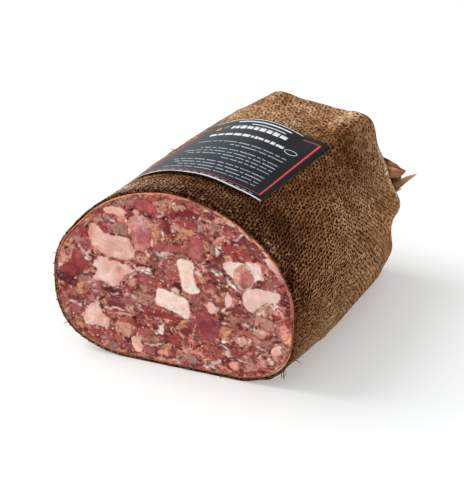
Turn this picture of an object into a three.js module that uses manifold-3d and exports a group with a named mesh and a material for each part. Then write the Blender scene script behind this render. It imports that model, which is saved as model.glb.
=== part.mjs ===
// Half a head cheese in its jute wrap: a pressed loaf of chunky meat, cut straight through.
// Millimetres. +X runs right across the cut face, +Y along the loaf away from it, +Z up.
// The origin is the middle of the flat base. Each piece is modelled with y counted from the cut face,
// and the group at the end moves them all back by half the body's length.
import * as THREE from "three";
import { mergeVertices } from "three/addons/utils/BufferGeometryUtils.js";
import Module from "manifold-3d";

const wasm = await Module();
wasm.setup();

// Body sizes: values at the cut face, halfway and at the rear rim
const bodyLength = 235;
const widestHeight = 57;
const halfWidths = { face: 92.2, middle: 98, rear: 87.5 };
const topHeights = { face: 128, middle: 127, rear: 138.5 };
const shoulderExponents = { left: { face: 1.9, rear: 2.1 }, right: { face: 1.8, rear: 2.1 } };
const footExponents = { left: { face: 3.1, rear: 4.5 }, right: { face: 3.8, rear: 4.5 } };
const basePressedIn = 1.5;

// Layers from the outside in, and the gap between touching pieces
const clothThickness = 1.6;
const casingThickness = 0.9;
const gap = 0.3;
const casingInset = clothThickness + gap;
const loafInset = casingInset + casingThickness + gap;

// The cloth's folds, as hills and hollows at an angle (degrees) of the section, from `start` of the length on
const clothFolds = [
  { angle: 51.5, spread: 9, height: 11.5, start: 0.35 },
  { angle: 19, spread: 12, height: -4, start: 0.35 },
  { angle: 125, spread: 20, height: -4, start: 0.35 },
  { angle: 100, spread: 9, height: 4, start: 0.8 },
];
const rearSlope = { gradient: -0.07, aboutX: -15, reach: 60 };

// Facets round the section and along the body
const sectionSides = 48;
const stations = 12;

// The gathered and tied end of the wrap
const neck = { x: 26, z: 72, proud: 4, lean: 25, waistRadius: 8, mouthRadius: 9.5 };
const neckReach = { foot: 4, waist: 10, mouth: 18 };
const rearRings = [
  { toNeck: 0.035, rise: 2.6, pleat: 0 },
  { toNeck: 0.12, rise: 3.6, pleat: 0.5 },
  { toNeck: 0.4, rise: 4.6, pleat: 1.5 },
  { toNeck: 0.7, rise: 5.4, pleat: 1.5 },
];
const pleatCount = 12;
const ruffleDepth = 0.08;
const rearCushion = 4;
const stringRadius = 1.4;
const stringTurns = 2;
const knotRadius = 3;

// The torn end of the casing that hangs out of the tied cloth, as an outline in x and z
const tail = { thickness: 2.2, rootX: 37, rootY: 255.8, tipX: 75, tipY: 249 };
const tailOutline = [
  [37, 66], [60, 63], [82, 65.5], [92, 74], [98, 83], [85, 77.5], [89.5, 86], [71.5, 91.5], [56, 87], [37, 79],
];

// The paper label on top: edges as [angle of the section, y], its thickness and its lifted front edge
const label = { thickness: 0.5, clearance: 0.9, lift: 2.4, liftLength: 22, across: 14, along: 9 };
const labelFront = [[50, 40], [86, 37], [135, 54]];
const labelBack = [[50, 157], [92, 178], [130, 182]];

// Chunks that show in the cut face: middle, size, tilt in degrees, squareness and how deep they go in
const lobeSides = 12;
const backScale = 0.72;
const colours = {
  meat: 0xa4635c, cream: 0xead3c8, pinkFat: 0xe6bdb0, peach: 0xdcae9b, rose: 0xb36066, plum: 0x8d4555,
  crimson: 0x87303a, jelly: 0xaa836f, casing: 0xe09a78, jute: 0x745238, string: 0xb59a73, tail: 0x9c6242,
  label: 0x383c42,
};
const chunks = [
  { name: "fat_bar", colour: "cream", depth: 22, lobes: [[12.5, 69.5, 12.5, 25, 9, 4], [17, 60, 9, 7, 0, 2.5]] },
  { name: "fat_block", colour: "cream", depth: 20, lobes: [[2, 48, 26, 12, -12, 5]] },
  { name: "fat_slab_peach", colour: "peach", depth: 26, lobes: [[-44, 82, 36, 16, -7, 3.4], [-57, 93, 11, 16, 12, 2.4]] },
  { name: "fat_mottled", colour: "pinkFat", depth: 22, lobes: [[-46.5, 62, 27, 18, 4, 3], [-33, 66, 13, 9, 8, 2]] },
  { name: "fat_oval_top", colour: "peach", depth: 14, lobes: [[-40, 109, 21, 8, 3, 2.4]] },
  { name: "tongue_oval", colour: "rose", depth: 24, lobes: [[-21, 96, 16, 25, 10, 2.3]] },
  { name: "jelly_lens", colour: "jelly", depth: 10, lobes: [[-38.5, 97.5, 13.5, 7, 0, 2.3]] },
  { name: "fat_horseshoe", colour: "cream", depth: 18, lobes: [[53.5, 80.5, 27, 15, 10, 2.8]] },
  { name: "tongue_core", colour: "rose", depth: 16, lobes: [[54, 77, 11.5, 18, 8, 2.2]] },
  { name: "fat_boot", colour: "cream", depth: 18, lobes: [[59, 59.5, 14, 14, 20, 3], [71.5, 65, 17, 9, 10, 3]] },
  { name: "fat_pearl", colour: "cream", depth: 9, lobes: [[31, 51, 9, 9, 0, 2.6]] },
  { name: "fat_sliver", colour: "pinkFat", depth: 12, lobes: [[43.5, 61, 7, 13, 10, 2.2]] },
  { name: "fat_lower_left", colour: "pinkFat", depth: 20, lobes: [[-58, 25, 20, 14, -12, 3], [-60.5, 33, 12, 12, 0, 2.2]] },
  { name: "fat_right_edge", colour: "pinkFat", depth: 12, lobes: [[72.3, 86, 6.5, 8, 30, 2.4]] },
  { name: "fat_right_low", colour: "cream", depth: 12, lobes: [[78, 28, 9, 10, -35, 2.8]] },
  { name: "fat_speck_low", colour: "cream", depth: 8, lobes: [[-8, 25, 5, 7.5, 15, 2.2]] },
  { name: "fat_lower_peach", colour: "peach", depth: 12, lobes: [[-27.5, 14, 9, 13, 0, 2.4]] },
  { name: "lean_plum", colour: "plum", depth: 26, lobes: [[27, 34, 21, 23, 15, 2.2]] },
  { name: "lean_left", colour: "crimson", depth: 24, lobes: [[-75, 64.5, 20, 19, 12, 2.2]] },
  { name: "lean_top", colour: "rose", depth: 20, lobes: [[-16, 115, 20, 10, -4, 2.2]] },
  { name: "lean_streak_top", colour: "crimson", depth: 12, lobes: [[9, 111, 23, 6.5, 6, 2.2]] },
  { name: "lean_middle", colour: "rose", depth: 22, lobes: [[18, 91, 19, 14, 8, 2.2], [0, 90.5, 24, 7.5, 0, 2.4]] },
  { name: "lean_band_low", colour: "crimson", depth: 14, lobes: [[-7, 36, 28, 5.2, 0, 2.2]] },
];
const nested = { outer: "fat_horseshoe", inner: "tongue_core" };

const radians = THREE.MathUtils.degToRad;
const smooth = (value) => THREE.MathUtils.smoothstep(value, 0, 1);
const mix = (from, to, share) => from + (to - from) * share;

// A parabola through the values at the face, halfway and at the rear
function throughMiddle({ face, middle, rear }, t) {
  const pull = 2 * middle - (face + rear) / 2;
  return (1 - t) ** 2 * face + 2 * t * (1 - t) * pull + t * t * rear;
}

// The cloth's outer radius from the section's middle, at a polar angle and a share t of the length
function bodyRadius(angle, t) {
  const across = Math.abs(Math.cos(angle));
  const up = Math.abs(Math.sin(angle));
  const over = Math.sin(angle) > 0;
  const side = Math.cos(angle) > 0 ? "right" : "left";
  const range = over ? shoulderExponents[side] : footExponents[side];
  const exponent = mix(range.face, range.rear, smooth(t));
  const height = over ? throughMiddle(topHeights, t) - widestHeight : widestHeight + basePressedIn;
  const acrossPart = (across / throughMiddle(halfWidths, t)) ** exponent;
  return (acrossPart + (up / height) ** exponent) ** (-1 / exponent) + foldHeight(angle, t);
}

function foldHeight(angle, t) {
  const degrees = THREE.MathUtils.radToDeg(angle);
  const reached = (fold) => smooth((t - fold.start) / (0.95 - fold.start));
  const hill = (fold) => fold.height * Math.exp(-(((degrees - fold.angle) / fold.spread) ** 2));
  return clothFolds.reduce((sum, fold) => sum + reached(fold) * hill(fold), 0);
}

// A point of the body's skin; a positive inset lies inside the cloth's outer face
function bodyPoint(angle, t, inset, y = t * bodyLength) {
  const radius = bodyRadius(angle, t) - inset;
  const x = radius * Math.cos(angle);
  const over = radius * Math.sin(angle);
  const slopeShare = smooth((t - 0.35) / 0.6) * THREE.MathUtils.clamp(over / rearSlope.reach, 0, 1);
  const tilted = over + slopeShare * rearSlope.gradient * (x - rearSlope.aboutX);
  return new THREE.Vector3(x, y, Math.max(widestHeight + tilted, Math.max(inset, 0)));
}

const sideAngle = (side) => (side / sectionSides) * 2 * Math.PI - Math.PI;

function bodyRing(t, inset, y) {
  return Array.from({ length: sectionSides }, (_, side) => bodyPoint(sideAngle(side), t, inset, y));
}

// Every layer shares the same stations, apart from its own last ring
function bodyRings(inset, rearY) {
  const rings = Array.from({ length: stations }, (_, i) => bodyRing(i / stations, inset));
  return [...rings, bodyRing(rearY / bodyLength, inset)];
}

function ringMiddle(ring) {
  const sum = ring.reduce((total, point) => total.add(point), new THREE.Vector3());
  return sum.divideScalar(ring.length);
}

const splitQuad = ([a, b, c, d]) => [[a, b, c], [a, c, d]];

// Joins rings of equal count into one closed body, with a fan on each end. The diagonals run the same way
// up and down the body, so that nested layers keep their gap.
function loft(rings, startMiddle = ringMiddle(rings[0]), endMiddle = ringMiddle(rings[rings.length - 1])) {
  const count = rings[0].length;
  const points = [startMiddle, ...rings.flat(), endMiddle];
  const at = (ring, side) => 1 + ring * count + (side % count);
  const triangles = [];
  for (let side = 0; side < count; side += 1) {
    triangles.push([0, at(0, side + 1), at(0, side)]);
    triangles.push([points.length - 1, at(rings.length - 1, side), at(rings.length - 1, side + 1)]);
    for (let ring = 0; ring + 1 < rings.length; ring += 1) {
      const corners = [at(ring, side), at(ring, side + 1), at(ring + 1, side + 1), at(ring + 1, side)];
      const rising = rings[ring][side].y <= rings[ring + 1][side].y;
      triangles.push(...splitQuad(rising ? corners : [corners[1], corners[2], corners[3], corners[0]]));
    }
  }
  return closedGeometry(points, triangles);
}

// Turns the triangles outwards if the body came out inside out
function closedGeometry(points, triangles) {
  const volume = triangles.reduce((sum, [a, b, c]) => {
    const normal = new THREE.Vector3().crossVectors(points[b], points[c]);
    return sum + points[a].dot(normal);
  }, 0);
  const faces = volume < 0 ? triangles.map(([a, b, c]) => [a, c, b]) : triangles;
  const geometry = new THREE.BufferGeometry();
  geometry.setAttribute("position", new THREE.Float32BufferAttribute(points.flatMap((p) => p.toArray()), 3));
  geometry.setIndex(faces.flat());
  return geometry;
}

function toSolid(geometry) {
  const bare = geometry.clone();
  bare.deleteAttribute("normal");
  bare.deleteAttribute("uv");
  const merged = mergeVertices(bare, 1e-4);
  const vertProperties = new Float32Array(merged.attributes.position.array);
  const triVerts = new Uint32Array(merged.index.array);
  return new wasm.Manifold(new wasm.Mesh({ numProp: 3, vertProperties, triVerts }));
}

function toGeometry(solid) {
  const { numProp, vertProperties, triVerts } = solid.getMesh();
  const positions = [];
  for (let i = 0; i < vertProperties.length; i += numProp) {
    positions.push(...vertProperties.subarray(i, i + 3));
  }
  const geometry = new THREE.BufferGeometry();
  geometry.setAttribute("position", new THREE.Float32BufferAttribute(positions, 3));
  geometry.setIndex([...triVerts]);
  return geometry;
}

const united = (solids) => solids.reduce((whole, solid) => whole.add(solid));

// One lobe of a chunk, seen in the cut face, as a prism that narrows towards its hidden back
function lobePrism([x, z, width, height, tilt, squareness], frontY, depth, grow) {
  const ring = (y, scale) => Array.from({ length: lobeSides }, (_, side) => {
    const angle = (side / lobeSides) * 2 * Math.PI;
    const cos = Math.cos(angle);
    const sin = Math.sin(angle);
    const across = Math.sign(cos) * Math.abs(cos) ** (2 / squareness) * (width / 2 + grow) * scale;
    const up = Math.sign(sin) * Math.abs(sin) ** (2 / squareness) * (height / 2 + grow) * scale;
    const turned = new THREE.Vector2(across, up).rotateAround(new THREE.Vector2(), radians(tilt));
    return new THREE.Vector3(x + turned.x, y, z + turned.y);
  });
  const belly = depth * 0.6;
  return toSolid(loft([ring(frontY, 1), ring(belly, 1), ring(depth + grow, backScale)]));
}

const chunkSolid = (chunk) => united(chunk.lobes.map((lobe) => lobePrism(lobe, 0, chunk.depth, 0)));
const pocketSolid = (chunk) => united(chunk.lobes.map((lobe) => lobePrism(lobe, -1, chunk.depth, gap)));

function chunkGeometry(chunk) {
  const solid = chunkSolid(chunk);
  if (chunk.name !== nested.outer) return toGeometry(solid);
  const inner = chunks.find((other) => other.name === nested.inner);
  return toGeometry(solid.subtract(pocketSolid(inner)));
}

function loafGeometry() {
  const rearY = bodyLength - rearCushion;
  const rings = bodyRings(loafInset, rearY - 3);
  rings.push(bodyRing(1, loafInset + 3.5, rearY));
  const frontMiddle = new THREE.Vector3(0, 0, widestHeight);
  const rearMiddle = new THREE.Vector3(0, rearY + 1, widestHeight);
  const loaf = toSolid(loft(rings, frontMiddle, rearMiddle));
  return toGeometry(chunks.reduce((rest, chunk) => rest.subtract(pocketSolid(chunk)), loaf));
}

// The casing is a cup: outer skin from the rear to the cut, then back inside
function casingGeometry() {
  const rearY = bodyLength - rearCushion;
  const outer = bodyRings(casingInset, rearY - 3);
  outer.push(bodyRing(1, casingInset + 3.5, rearY + gap + casingThickness));
  const inner = bodyRings(loafInset - gap, rearY - 3);
  inner.push(bodyRing(1, loafInset - gap + 3.5, rearY + gap));
  const outerMiddle = new THREE.Vector3(0, rearY + 1 + gap + casingThickness, widestHeight);
  const innerMiddle = new THREE.Vector3(0, rearY + 1 + gap, widestHeight);
  return loft([...outer.reverse(), ...inner], outerMiddle, innerMiddle);
}

// A frame for the neck: its foot in the rear face, and rings square to its leaning axis
const neckFoot = new THREE.Vector3(neck.x, bodyLength + neck.proud, neck.z);
const neckAxis = new THREE.Vector3(Math.sin(radians(neck.lean)), Math.cos(radians(neck.lean)), 0);
const neckSide = new THREE.Vector3(neckAxis.y, -neckAxis.x, 0);
const neckAt = (distance) => neckFoot.clone().addScaledVector(neckAxis, distance);

function neckRing(distance, radius) {
  return Array.from({ length: sectionSides }, (_, side) => {
    const angle = sideAngle(side);
    const ruffle = 1 + ruffleDepth * Math.cos(angle * pleatCount);
    const point = neckAt(distance).addScaledVector(neckSide, radius * ruffle * Math.cos(angle));
    point.z += radius * ruffle * Math.sin(angle);
    return point;
  });
}

// Rings over the rear face, from the rim in to the foot of the neck, with pleats towards it
function rearFaceRing({ toNeck, rise, pleat }, inset) {
  const rim = bodyRing(1, 0, bodyLength);
  const foot = neckRing(0, neck.mouthRadius + 1);
  return rim.map((point, side) => {
    const wave = pleat * Math.cos(sideAngle(side) * pleatCount);
    const mixed = point.clone().lerp(foot[side], toNeck);
    mixed.y = bodyLength + rise + wave - inset;
    return mixed;
  });
}

function wrapGeometry() {
  const outer = [
    ...bodyRings(0, bodyLength),
    ...rearRings.map((ring) => rearFaceRing(ring, 0)),
    neckRing(neckReach.foot, neck.mouthRadius),
    neckRing(neckReach.waist, neck.waistRadius),
    neckRing(neckReach.mouth, neck.mouthRadius),
  ];
  const inner = bodyRings(clothThickness, bodyLength - clothThickness);
  inner.push(bodyRing(1, clothThickness + 3, bodyLength + 0.6));
  const innerMiddle = new THREE.Vector3(0, bodyLength + 1, widestHeight);
  return loft([...outer.reverse(), ...inner], neckAt(neckReach.mouth), innerMiddle);
}

function stringGeometry() {
  const turnRadius = neck.waistRadius * (1 + ruffleDepth) + 2 * gap + stringRadius;
  const turned = new THREE.Quaternion().setFromUnitVectors(new THREE.Vector3(0, 0, 1), neckAxis);
  const turns = Array.from({ length: stringTurns }, (_, i) => {
    const torus = new THREE.TorusGeometry(turnRadius, stringRadius, 6, 20).applyQuaternion(turned);
    const offset = (i - (stringTurns - 1) / 2) * stringRadius * 1.7;
    const middle = neckAt(neckReach.waist + offset);
    return toSolid(torus.translate(middle.x, middle.y, middle.z));
  });
  const knot = new THREE.IcosahedronGeometry(knotRadius, 1);
  const knotAt = neckAt(neckReach.waist);
  knot.translate(knotAt.x, knotAt.y, knotAt.z + turnRadius + knotRadius - stringRadius);
  return toGeometry(united([...turns, toSolid(knot)]));
}

// The torn casing end: its outline, thickened, and bent back from the neck to the tips
function tailGeometry() {
  const outline = new THREE.Shape(tailOutline.map(([x, z]) => new THREE.Vector2(x, z)));
  const slab = new THREE.ExtrudeGeometry(outline, { depth: tail.thickness, bevelEnabled: false, steps: 1 });
  const position = slab.attributes.position;
  for (let i = 0; i < position.count; i += 1) {
    const share = THREE.MathUtils.clamp((position.getX(i) - tail.rootX) / (tail.tipX - tail.rootX), 0, 1);
    const y = mix(tail.rootY, tail.tipY, share) + position.getZ(i) - tail.thickness / 2;
    position.setXYZ(i, position.getX(i), y, position.getY(i));
  }
  return flipped(slab);
}

// Swapping two axes mirrors a body, so its triangles are turned round
function flipped(geometry) {
  const solid = geometry.clone();
  solid.deleteAttribute("normal");
  solid.deleteAttribute("uv");
  const merged = mergeVertices(solid, 1e-4);
  const index = merged.index.array;
  for (let i = 0; i < index.length; i += 3) {
    [index[i + 1], index[i + 2]] = [index[i + 2], index[i + 1]];
  }
  return merged;
}

// A label edge: a parabola through three points of [angle, y]
function edgeAt([first, middle, last], share) {
  const through = (k) => throughMiddle({ face: first[k], middle: middle[k], rear: last[k] }, share);
  return { angle: through(0), y: through(1) };
}

function labelPoint(across, along, height) {
  const front = edgeAt(labelFront, across);
  const back = edgeAt(labelBack, across);
  const y = mix(front.y, back.y, along);
  const angle = radians(mix(front.angle, back.angle, along));
  const lifted = label.lift * (1 - smooth((along * (back.y - front.y)) / label.liftLength)) * Math.sin(Math.PI * across);
  return bodyPoint(angle, y / bodyLength, -(label.clearance + lifted + height), y);
}

// A thin closed sheet: under side, upper side and a strip round the edge
function labelGeometry() {
  const { across, along, thickness } = label;
  const points = [];
  for (const height of [0, thickness]) {
    for (let i = 0; i <= across; i += 1) {
      for (let j = 0; j <= along; j += 1) points.push(labelPoint(i / across, j / along, height));
    }
  }
  const layer = (across + 1) * (along + 1);
  const at = (i, j, top) => top * layer + i * (along + 1) + j;
  const triangles = [];
  const quad = (a, b, c, d) => triangles.push([a, b, c], [a, c, d]);
  for (let i = 0; i < across; i += 1) {
    for (let j = 0; j < along; j += 1) {
      quad(at(i, j, 0), at(i + 1, j, 0), at(i + 1, j + 1, 0), at(i, j + 1, 0));
      quad(at(i, j, 1), at(i, j + 1, 1), at(i + 1, j + 1, 1), at(i + 1, j, 1));
    }
    quad(at(i, 0, 0), at(i, 0, 1), at(i + 1, 0, 1), at(i + 1, 0, 0));
    quad(at(i, along, 0), at(i + 1, along, 0), at(i + 1, along, 1), at(i, along, 1));
  }
  for (let j = 0; j < along; j += 1) {
    quad(at(0, j, 0), at(0, j + 1, 0), at(0, j + 1, 1), at(0, j, 1));
    quad(at(across, j, 0), at(across, j, 1), at(across, j + 1, 1), at(across, j + 1, 0));
  }
  return closedGeometry(points, triangles);
}

function piece(name, geometry, colour, roughness) {
  const material = new THREE.MeshStandardMaterial({ color: colours[colour], roughness, metalness: 0 });
  const mesh = new THREE.Mesh(geometry, material);
  mesh.name = name;
  return mesh;
}

const headCheese = new THREE.Group();
headCheese.position.y = -bodyLength / 2;
headCheese.add(piece("loaf", loafGeometry(), "meat", 0.45));
chunks.forEach((chunk) => headCheese.add(piece(chunk.name, chunkGeometry(chunk), chunk.colour, 0.4)));
headCheese.add(piece("casing", casingGeometry(), "casing", 0.5));
headCheese.add(piece("jute_wrap", wrapGeometry(), "jute", 0.95));
headCheese.add(piece("tie_string", stringGeometry(), "string", 0.85));
headCheese.add(piece("casing_tail", tailGeometry(), "tail", 0.6));
headCheese.add(piece("label", labelGeometry(), "label", 0.4));

export default headCheese;
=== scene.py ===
import itertools
import math

import bpy
import numpy as np
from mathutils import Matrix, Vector


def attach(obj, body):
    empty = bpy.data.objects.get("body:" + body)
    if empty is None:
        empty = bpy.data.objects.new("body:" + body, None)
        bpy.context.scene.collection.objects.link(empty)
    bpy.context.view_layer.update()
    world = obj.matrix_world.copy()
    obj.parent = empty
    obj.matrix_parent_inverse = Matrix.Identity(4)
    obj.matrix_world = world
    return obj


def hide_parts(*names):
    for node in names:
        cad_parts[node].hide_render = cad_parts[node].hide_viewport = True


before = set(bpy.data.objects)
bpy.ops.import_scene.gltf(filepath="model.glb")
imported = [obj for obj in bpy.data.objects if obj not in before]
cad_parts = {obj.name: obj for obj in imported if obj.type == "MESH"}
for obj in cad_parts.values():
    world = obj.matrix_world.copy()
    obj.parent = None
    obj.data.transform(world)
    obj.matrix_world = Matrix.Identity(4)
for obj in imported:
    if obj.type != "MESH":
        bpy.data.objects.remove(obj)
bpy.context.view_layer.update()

print("frame loaded:", len(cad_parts), "nodes")


# Camera, floor and light

camera = {"place": (0.35415, -0.79642, 0.3841), "looks": (-0.3857, 0.8500, -0.3588), "lens": 90.22}
studio = {
    "skyColour": (0.97, 0.985, 1.0, 1), "skyDim": 0.26, "skyBright": 1.1, "brightSide": (-0.55, -0.75, 0.35),
    "keyFrom": (-0.90, 0.02, 0.86), "keyStrength": 2.0, "keySpread": 40.0,
    "floorSize": 8.0, "floorDrop": 0.0002, "floorGlow": 0.32, "floorColour": (0.62, 0.632, 0.618, 1),
}


def newObject(name, data):
    obj = bpy.data.objects.new(name, data)
    bpy.context.scene.collection.objects.link(obj)
    return obj


def aimed(obj, place, direction):
    obj.location = place
    obj.rotation_euler = Vector(direction).to_track_quat("-Z", "Y").to_euler()
    return obj


def addCamera():
    lens = bpy.data.cameras.new("photoCamera")
    lens.lens, lens.sensor_width, lens.clip_start = camera["lens"], 36, 0.01
    bpy.context.scene.camera = aimed(newObject("photoCamera", lens), camera["place"], camera["looks"])


def addStudio():
    # the camera sees plain white, while the pieces get light that is brighter from the front left
    world = bpy.data.worlds.new("studioWorld")
    bpy.context.scene.world = world
    world.use_nodes = True
    tree = world.node_tree
    tree.nodes.clear()
    way = node(tree, "TexCoord").outputs["Generated"]
    side = node(tree, "VectorMath", {"operation": "DOT_PRODUCT"}, in0=way, in1=studio["brightSide"])
    strength = mapped(tree, side.outputs["Value"], -0.8, 0.9, studio["skyDim"], studio["skyBright"])
    soft = node(tree, "Background", None, Color=studio["skyColour"], Strength=strength)
    white = node(tree, "Background", None, Color=(1, 1, 1, 1))
    seen = node(tree, "LightPath").outputs["Is Camera Ray"]
    node(tree, "OutputWorld", None, Surface=node(tree, "MixShader", None, in0=seen, in1=soft, in2=white))

    key = bpy.data.lights.new("softKey", "SUN")
    key.energy, key.angle = studio["keyStrength"], math.radians(studio["keySpread"])
    aimed(newObject("softKey", key), studio["keyFrom"], -Vector(studio["keyFrom"]))

    half, low = studio["floorSize"] / 2, -studio["floorDrop"]
    corners = [(-half, -half, low), (half, -half, low), (half, half, low), (-half, half, low)]
    mesh = bpy.data.meshes.new("studioFloor")
    mesh.from_pydata(corners, [], [(0, 1, 2, 3)])
    mesh.materials.append(startMaterial(
        "paleFloor", Roughness=0.6, Base_Color=studio["floorColour"], Emission_Color=(1, 1, 1, 1),
        Emission_Strength=studio["floorGlow"], Specular_IOR_Level=0.2)[0])
    newObject("studioFloor", mesh)


# Material helpers

def tone(*screen):
    # a colour as read off a screen, turned into Blender's linear values
    shares = [value / 255 for value in screen]
    linear = (share / 12.92 if share <= 0.04045 else ((share + 0.055) / 1.055) ** 2.4 for share in shares)
    return (*linear, 1.0)


def rgb(*screen):
    return np.array(tone(*screen)[:3])


def startMaterial(name, **sockets):
    material = bpy.data.materials.new(name)
    material.use_nodes = True
    shader = material.node_tree.nodes["Principled BSDF"]
    for socket, value in sockets.items():
        shader.inputs[socket.replace("_", " ")].default_value = value
    return material, material.node_tree, shader


def node(tree, kind, settings=None, **inputs):
    # inputs are values, or nodes or sockets to link, named as on the node, or in0, in1... by position
    made = tree.nodes.new(kind if "Node" in kind else "ShaderNode" + kind)
    for name, value in (settings or {}).items():
        setattr(made, name, value)
    for name, value in inputs.items():
        byPlace = name[:2] == "in" and name[2:].isdigit()
        socket = made.inputs[int(name[2:]) if byPlace else name.replace("_", " ")]
        value = value.outputs[0] if isinstance(value, bpy.types.Node) else value
        if isinstance(value, bpy.types.NodeSocket):
            tree.links.new(value, socket)
        else:
            socket.default_value = value
    return made


def math2(tree, operation, first, second=0.0, third=0.0):
    return node(tree, "Math", {"operation": operation}, in0=first, in1=second, in2=third).outputs[0]


def mapped(tree, value, fromLow, fromHigh, toLow=0.0, toHigh=1.0):
    item = node(tree, "MapRange", None, Value=value, in1=fromLow, in2=fromHigh, in3=toLow, in4=toHigh)
    return item.outputs[0]


def noiseOf(tree, vector, scale, detail=3.0, roughness=0.55):
    item = node(tree, "TexNoise", None, Vector=vector, Scale=scale, Detail=detail, Roughness=roughness)
    return item.outputs["Fac"]


def ramp(tree, factor, *stops):
    made = node(tree, "ValToRGB", None, Fac=factor)
    elements = made.color_ramp.elements
    while len(elements) < len(stops):
        elements.new(0.5)
    for element, (place, colour) in zip(elements, stops):
        element.position = place
        element.color = colour
    return made.outputs["Color"]


def mixColours(tree, share, first, second, blend="MIX"):
    item = node(tree, "Mix", {"data_type": "RGBA", "blend_type": blend}, in0=share, in6=first, in7=second)
    return item.outputs[2]


def multiplied(tree, first, second):
    return mixColours(tree, 1.0, first, second, "MULTIPLY")


def addBump(tree, shader, height, strength, distance):
    bump = node(tree, "Bump", None, Strength=strength, Distance=distance, Height=height)
    tree.links.new(bump.outputs["Normal"], shader.inputs["Normal"])


def objectPoints(tree):
    return node(tree, "TexCoord").outputs["Object"]


def paintedTone(tree):
    # the colour that the points of a piece carry
    return node(tree, "Attribute", {"attribute_name": "tone"}).outputs["Color"]


def mottledMaterial(name, noise, low, high, bump=None, painted=False, **sockets):
    # two tones mixed by a noise (scale, detail, roughness); low and high are (place, colour)
    material, tree, shader = startMaterial(name, **sockets)
    spots = objectPoints(tree)
    colour = ramp(tree, noiseOf(tree, spots, *noise), low, high)
    if painted:
        colour = multiplied(tree, paintedTone(tree), colour)
    tree.links.new(colour, shader.inputs["Base Color"])
    if bump:
        addBump(tree, shader, noiseOf(tree, spots, *bump[0]), *bump[1:])
    return material


# Mesh helpers. Points are millimetres, with y counted from the cut face, as the body's sizes are.

bodyLength = 235.0


def makePiece(name, points, faces, material, uvs=None, uvFaces=None, colours=None):
    mesh = bpy.data.meshes.new(name)
    inPlace = (np.asarray(points, float) - (0, bodyLength / 2, 0)) / 1000
    mesh.from_pydata(inPlace.tolist(), [], [list(face) for face in faces])
    mesh.polygons.foreach_set("use_smooth", np.ones(len(mesh.polygons), bool))
    if uvs is not None:
        layer = mesh.uv_layers.new(name="UVMap")
        loops = np.concatenate([np.asarray(face) for face in uvFaces])
        layer.data.foreach_set("uv", np.asarray(uvs, np.float32)[loops].ravel())
    if colours is not None:
        layer = mesh.attributes.new("tone", "FLOAT_COLOR", "POINT")
        solid = np.column_stack([colours, np.ones(len(colours))])
        layer.data.foreach_set("color", solid.astype(np.float32).ravel())
    for each in material if isinstance(material, list) else [material]:
        mesh.materials.append(each)
    mesh.update()
    return newObject(name, mesh)


def gridFaces(rows, columns, closed=False):
    row = np.arange(rows - 1)[:, None]
    column = np.arange(columns if closed else columns - 1)[None, :]
    after = (column + 1) % columns
    quads = np.stack([row * columns + column, row * columns + after,
                      (row + 1) * columns + after, (row + 1) * columns + column], -1)
    return quads.reshape(-1, 4)


def tubeFaces(rows, columns):
    # a closed tube of rings; the last two points are the middles of its first and last ring
    first, base = rows * columns, (rows - 1) * columns
    faces = list(map(tuple, gridFaces(rows, columns, closed=True).tolist()))
    faces += [(first, (i + 1) % columns, i) for i in range(columns)]
    return faces + [(first + 1, base + i, base + (i + 1) % columns) for i in range(columns)]


def borderOf(rows, columns):
    # the outer points of a grid, in order
    count = rows * columns
    return [*range(columns), *range(2 * columns - 1, count, columns), *range(count - 2, count - columns - 1, -1),
            *range(count - 2 * columns, 0, -columns)]


def signedVolume(points, faces):
    quads = np.array([face if len(face) == 4 else (*face, face[2]) for face in faces])
    a, b, c, d = (points[quads[:, k]] for k in range(4))
    return (np.sum(a * np.cross(b, c)) + np.sum(a * np.cross(c, d))) / 6


def turnedOut(points, faces):
    return [face[::-1] for face in faces] if signedVolume(points, faces) < 0 else faces


def unit(vectors):
    return vectors / np.maximum(np.linalg.norm(vectors, axis=-1, keepdims=True), 1e-9)


def ringNormals(points, rows, columns):
    # normals of a closed tube of rings, outwards for rings that run along the tube
    grid = points.reshape(rows, columns, 3)
    around = np.roll(grid, -1, 1) - np.roll(grid, 1, 1)
    return unit(np.cross(around, np.gradient(grid, axis=0))).reshape(-1, 3)


def fullTurn(count, start=-math.pi):
    return np.linspace(start, start + 2 * math.pi, count, endpoint=False)


def pathLengths(path):
    return np.concatenate([[0], np.cumsum(np.linalg.norm(np.diff(path, axis=0), axis=1))])


def curvePoint(a, b, c, d, t):
    # a smooth curve from b to c
    return 0.5 * (2 * b + (c - a) * t + (2 * a - 5 * b + 4 * c - d) * t ** 2 + (3 * b - a - 3 * c + d) * t ** 3)


def smooth(value):
    share = np.clip(value, 0, 1)
    return share * share * (3 - 2 * share)


def bell(value, middle, spread):
    return np.exp(-((value - middle) / spread) ** 2)


def blend(colours, target, share):
    # colours moved towards a target by each point's share
    return colours + (target - colours) * np.reshape(share, (-1, 1))


def hashed(cells, seed):
    # a steady random number from 0 to 1 for each whole-number cell
    value = np.full(len(cells), 374761393 * (seed + 1) & 0xFFFFFFFF, np.uint64)
    for axis in range(cells.shape[1]):
        cell = (cells[:, axis].astype(np.int64) & 0xFFFFFFFF).astype(np.uint64)
        value = (value ^ cell) * np.uint64(2654435761)
        value = (value ^ (value >> np.uint64(15))) & np.uint64(0xFFFFFFFF)
    value = (value * np.uint64(2246822519)) & np.uint64(0xFFFFFFFF)
    return ((value ^ (value >> np.uint64(13))) & np.uint64(0xFFFFFF)).astype(float) / 0xFFFFFF


def latticeNoise(points, size, seed=0):
    scaled = np.asarray(points, float) / size + 1000
    cell = np.floor(scaled).astype(np.int64)
    part = scaled - cell
    part = part * part * (3 - 2 * part)
    total = np.zeros(len(cell))
    for corner in itertools.product((0, 1), repeat=cell.shape[1]):
        weight = np.prod(np.where(np.array(corner), part, 1 - part), axis=1)
        total += weight * hashed(cell + np.array(corner), seed)
    return total * 2 - 1


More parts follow.
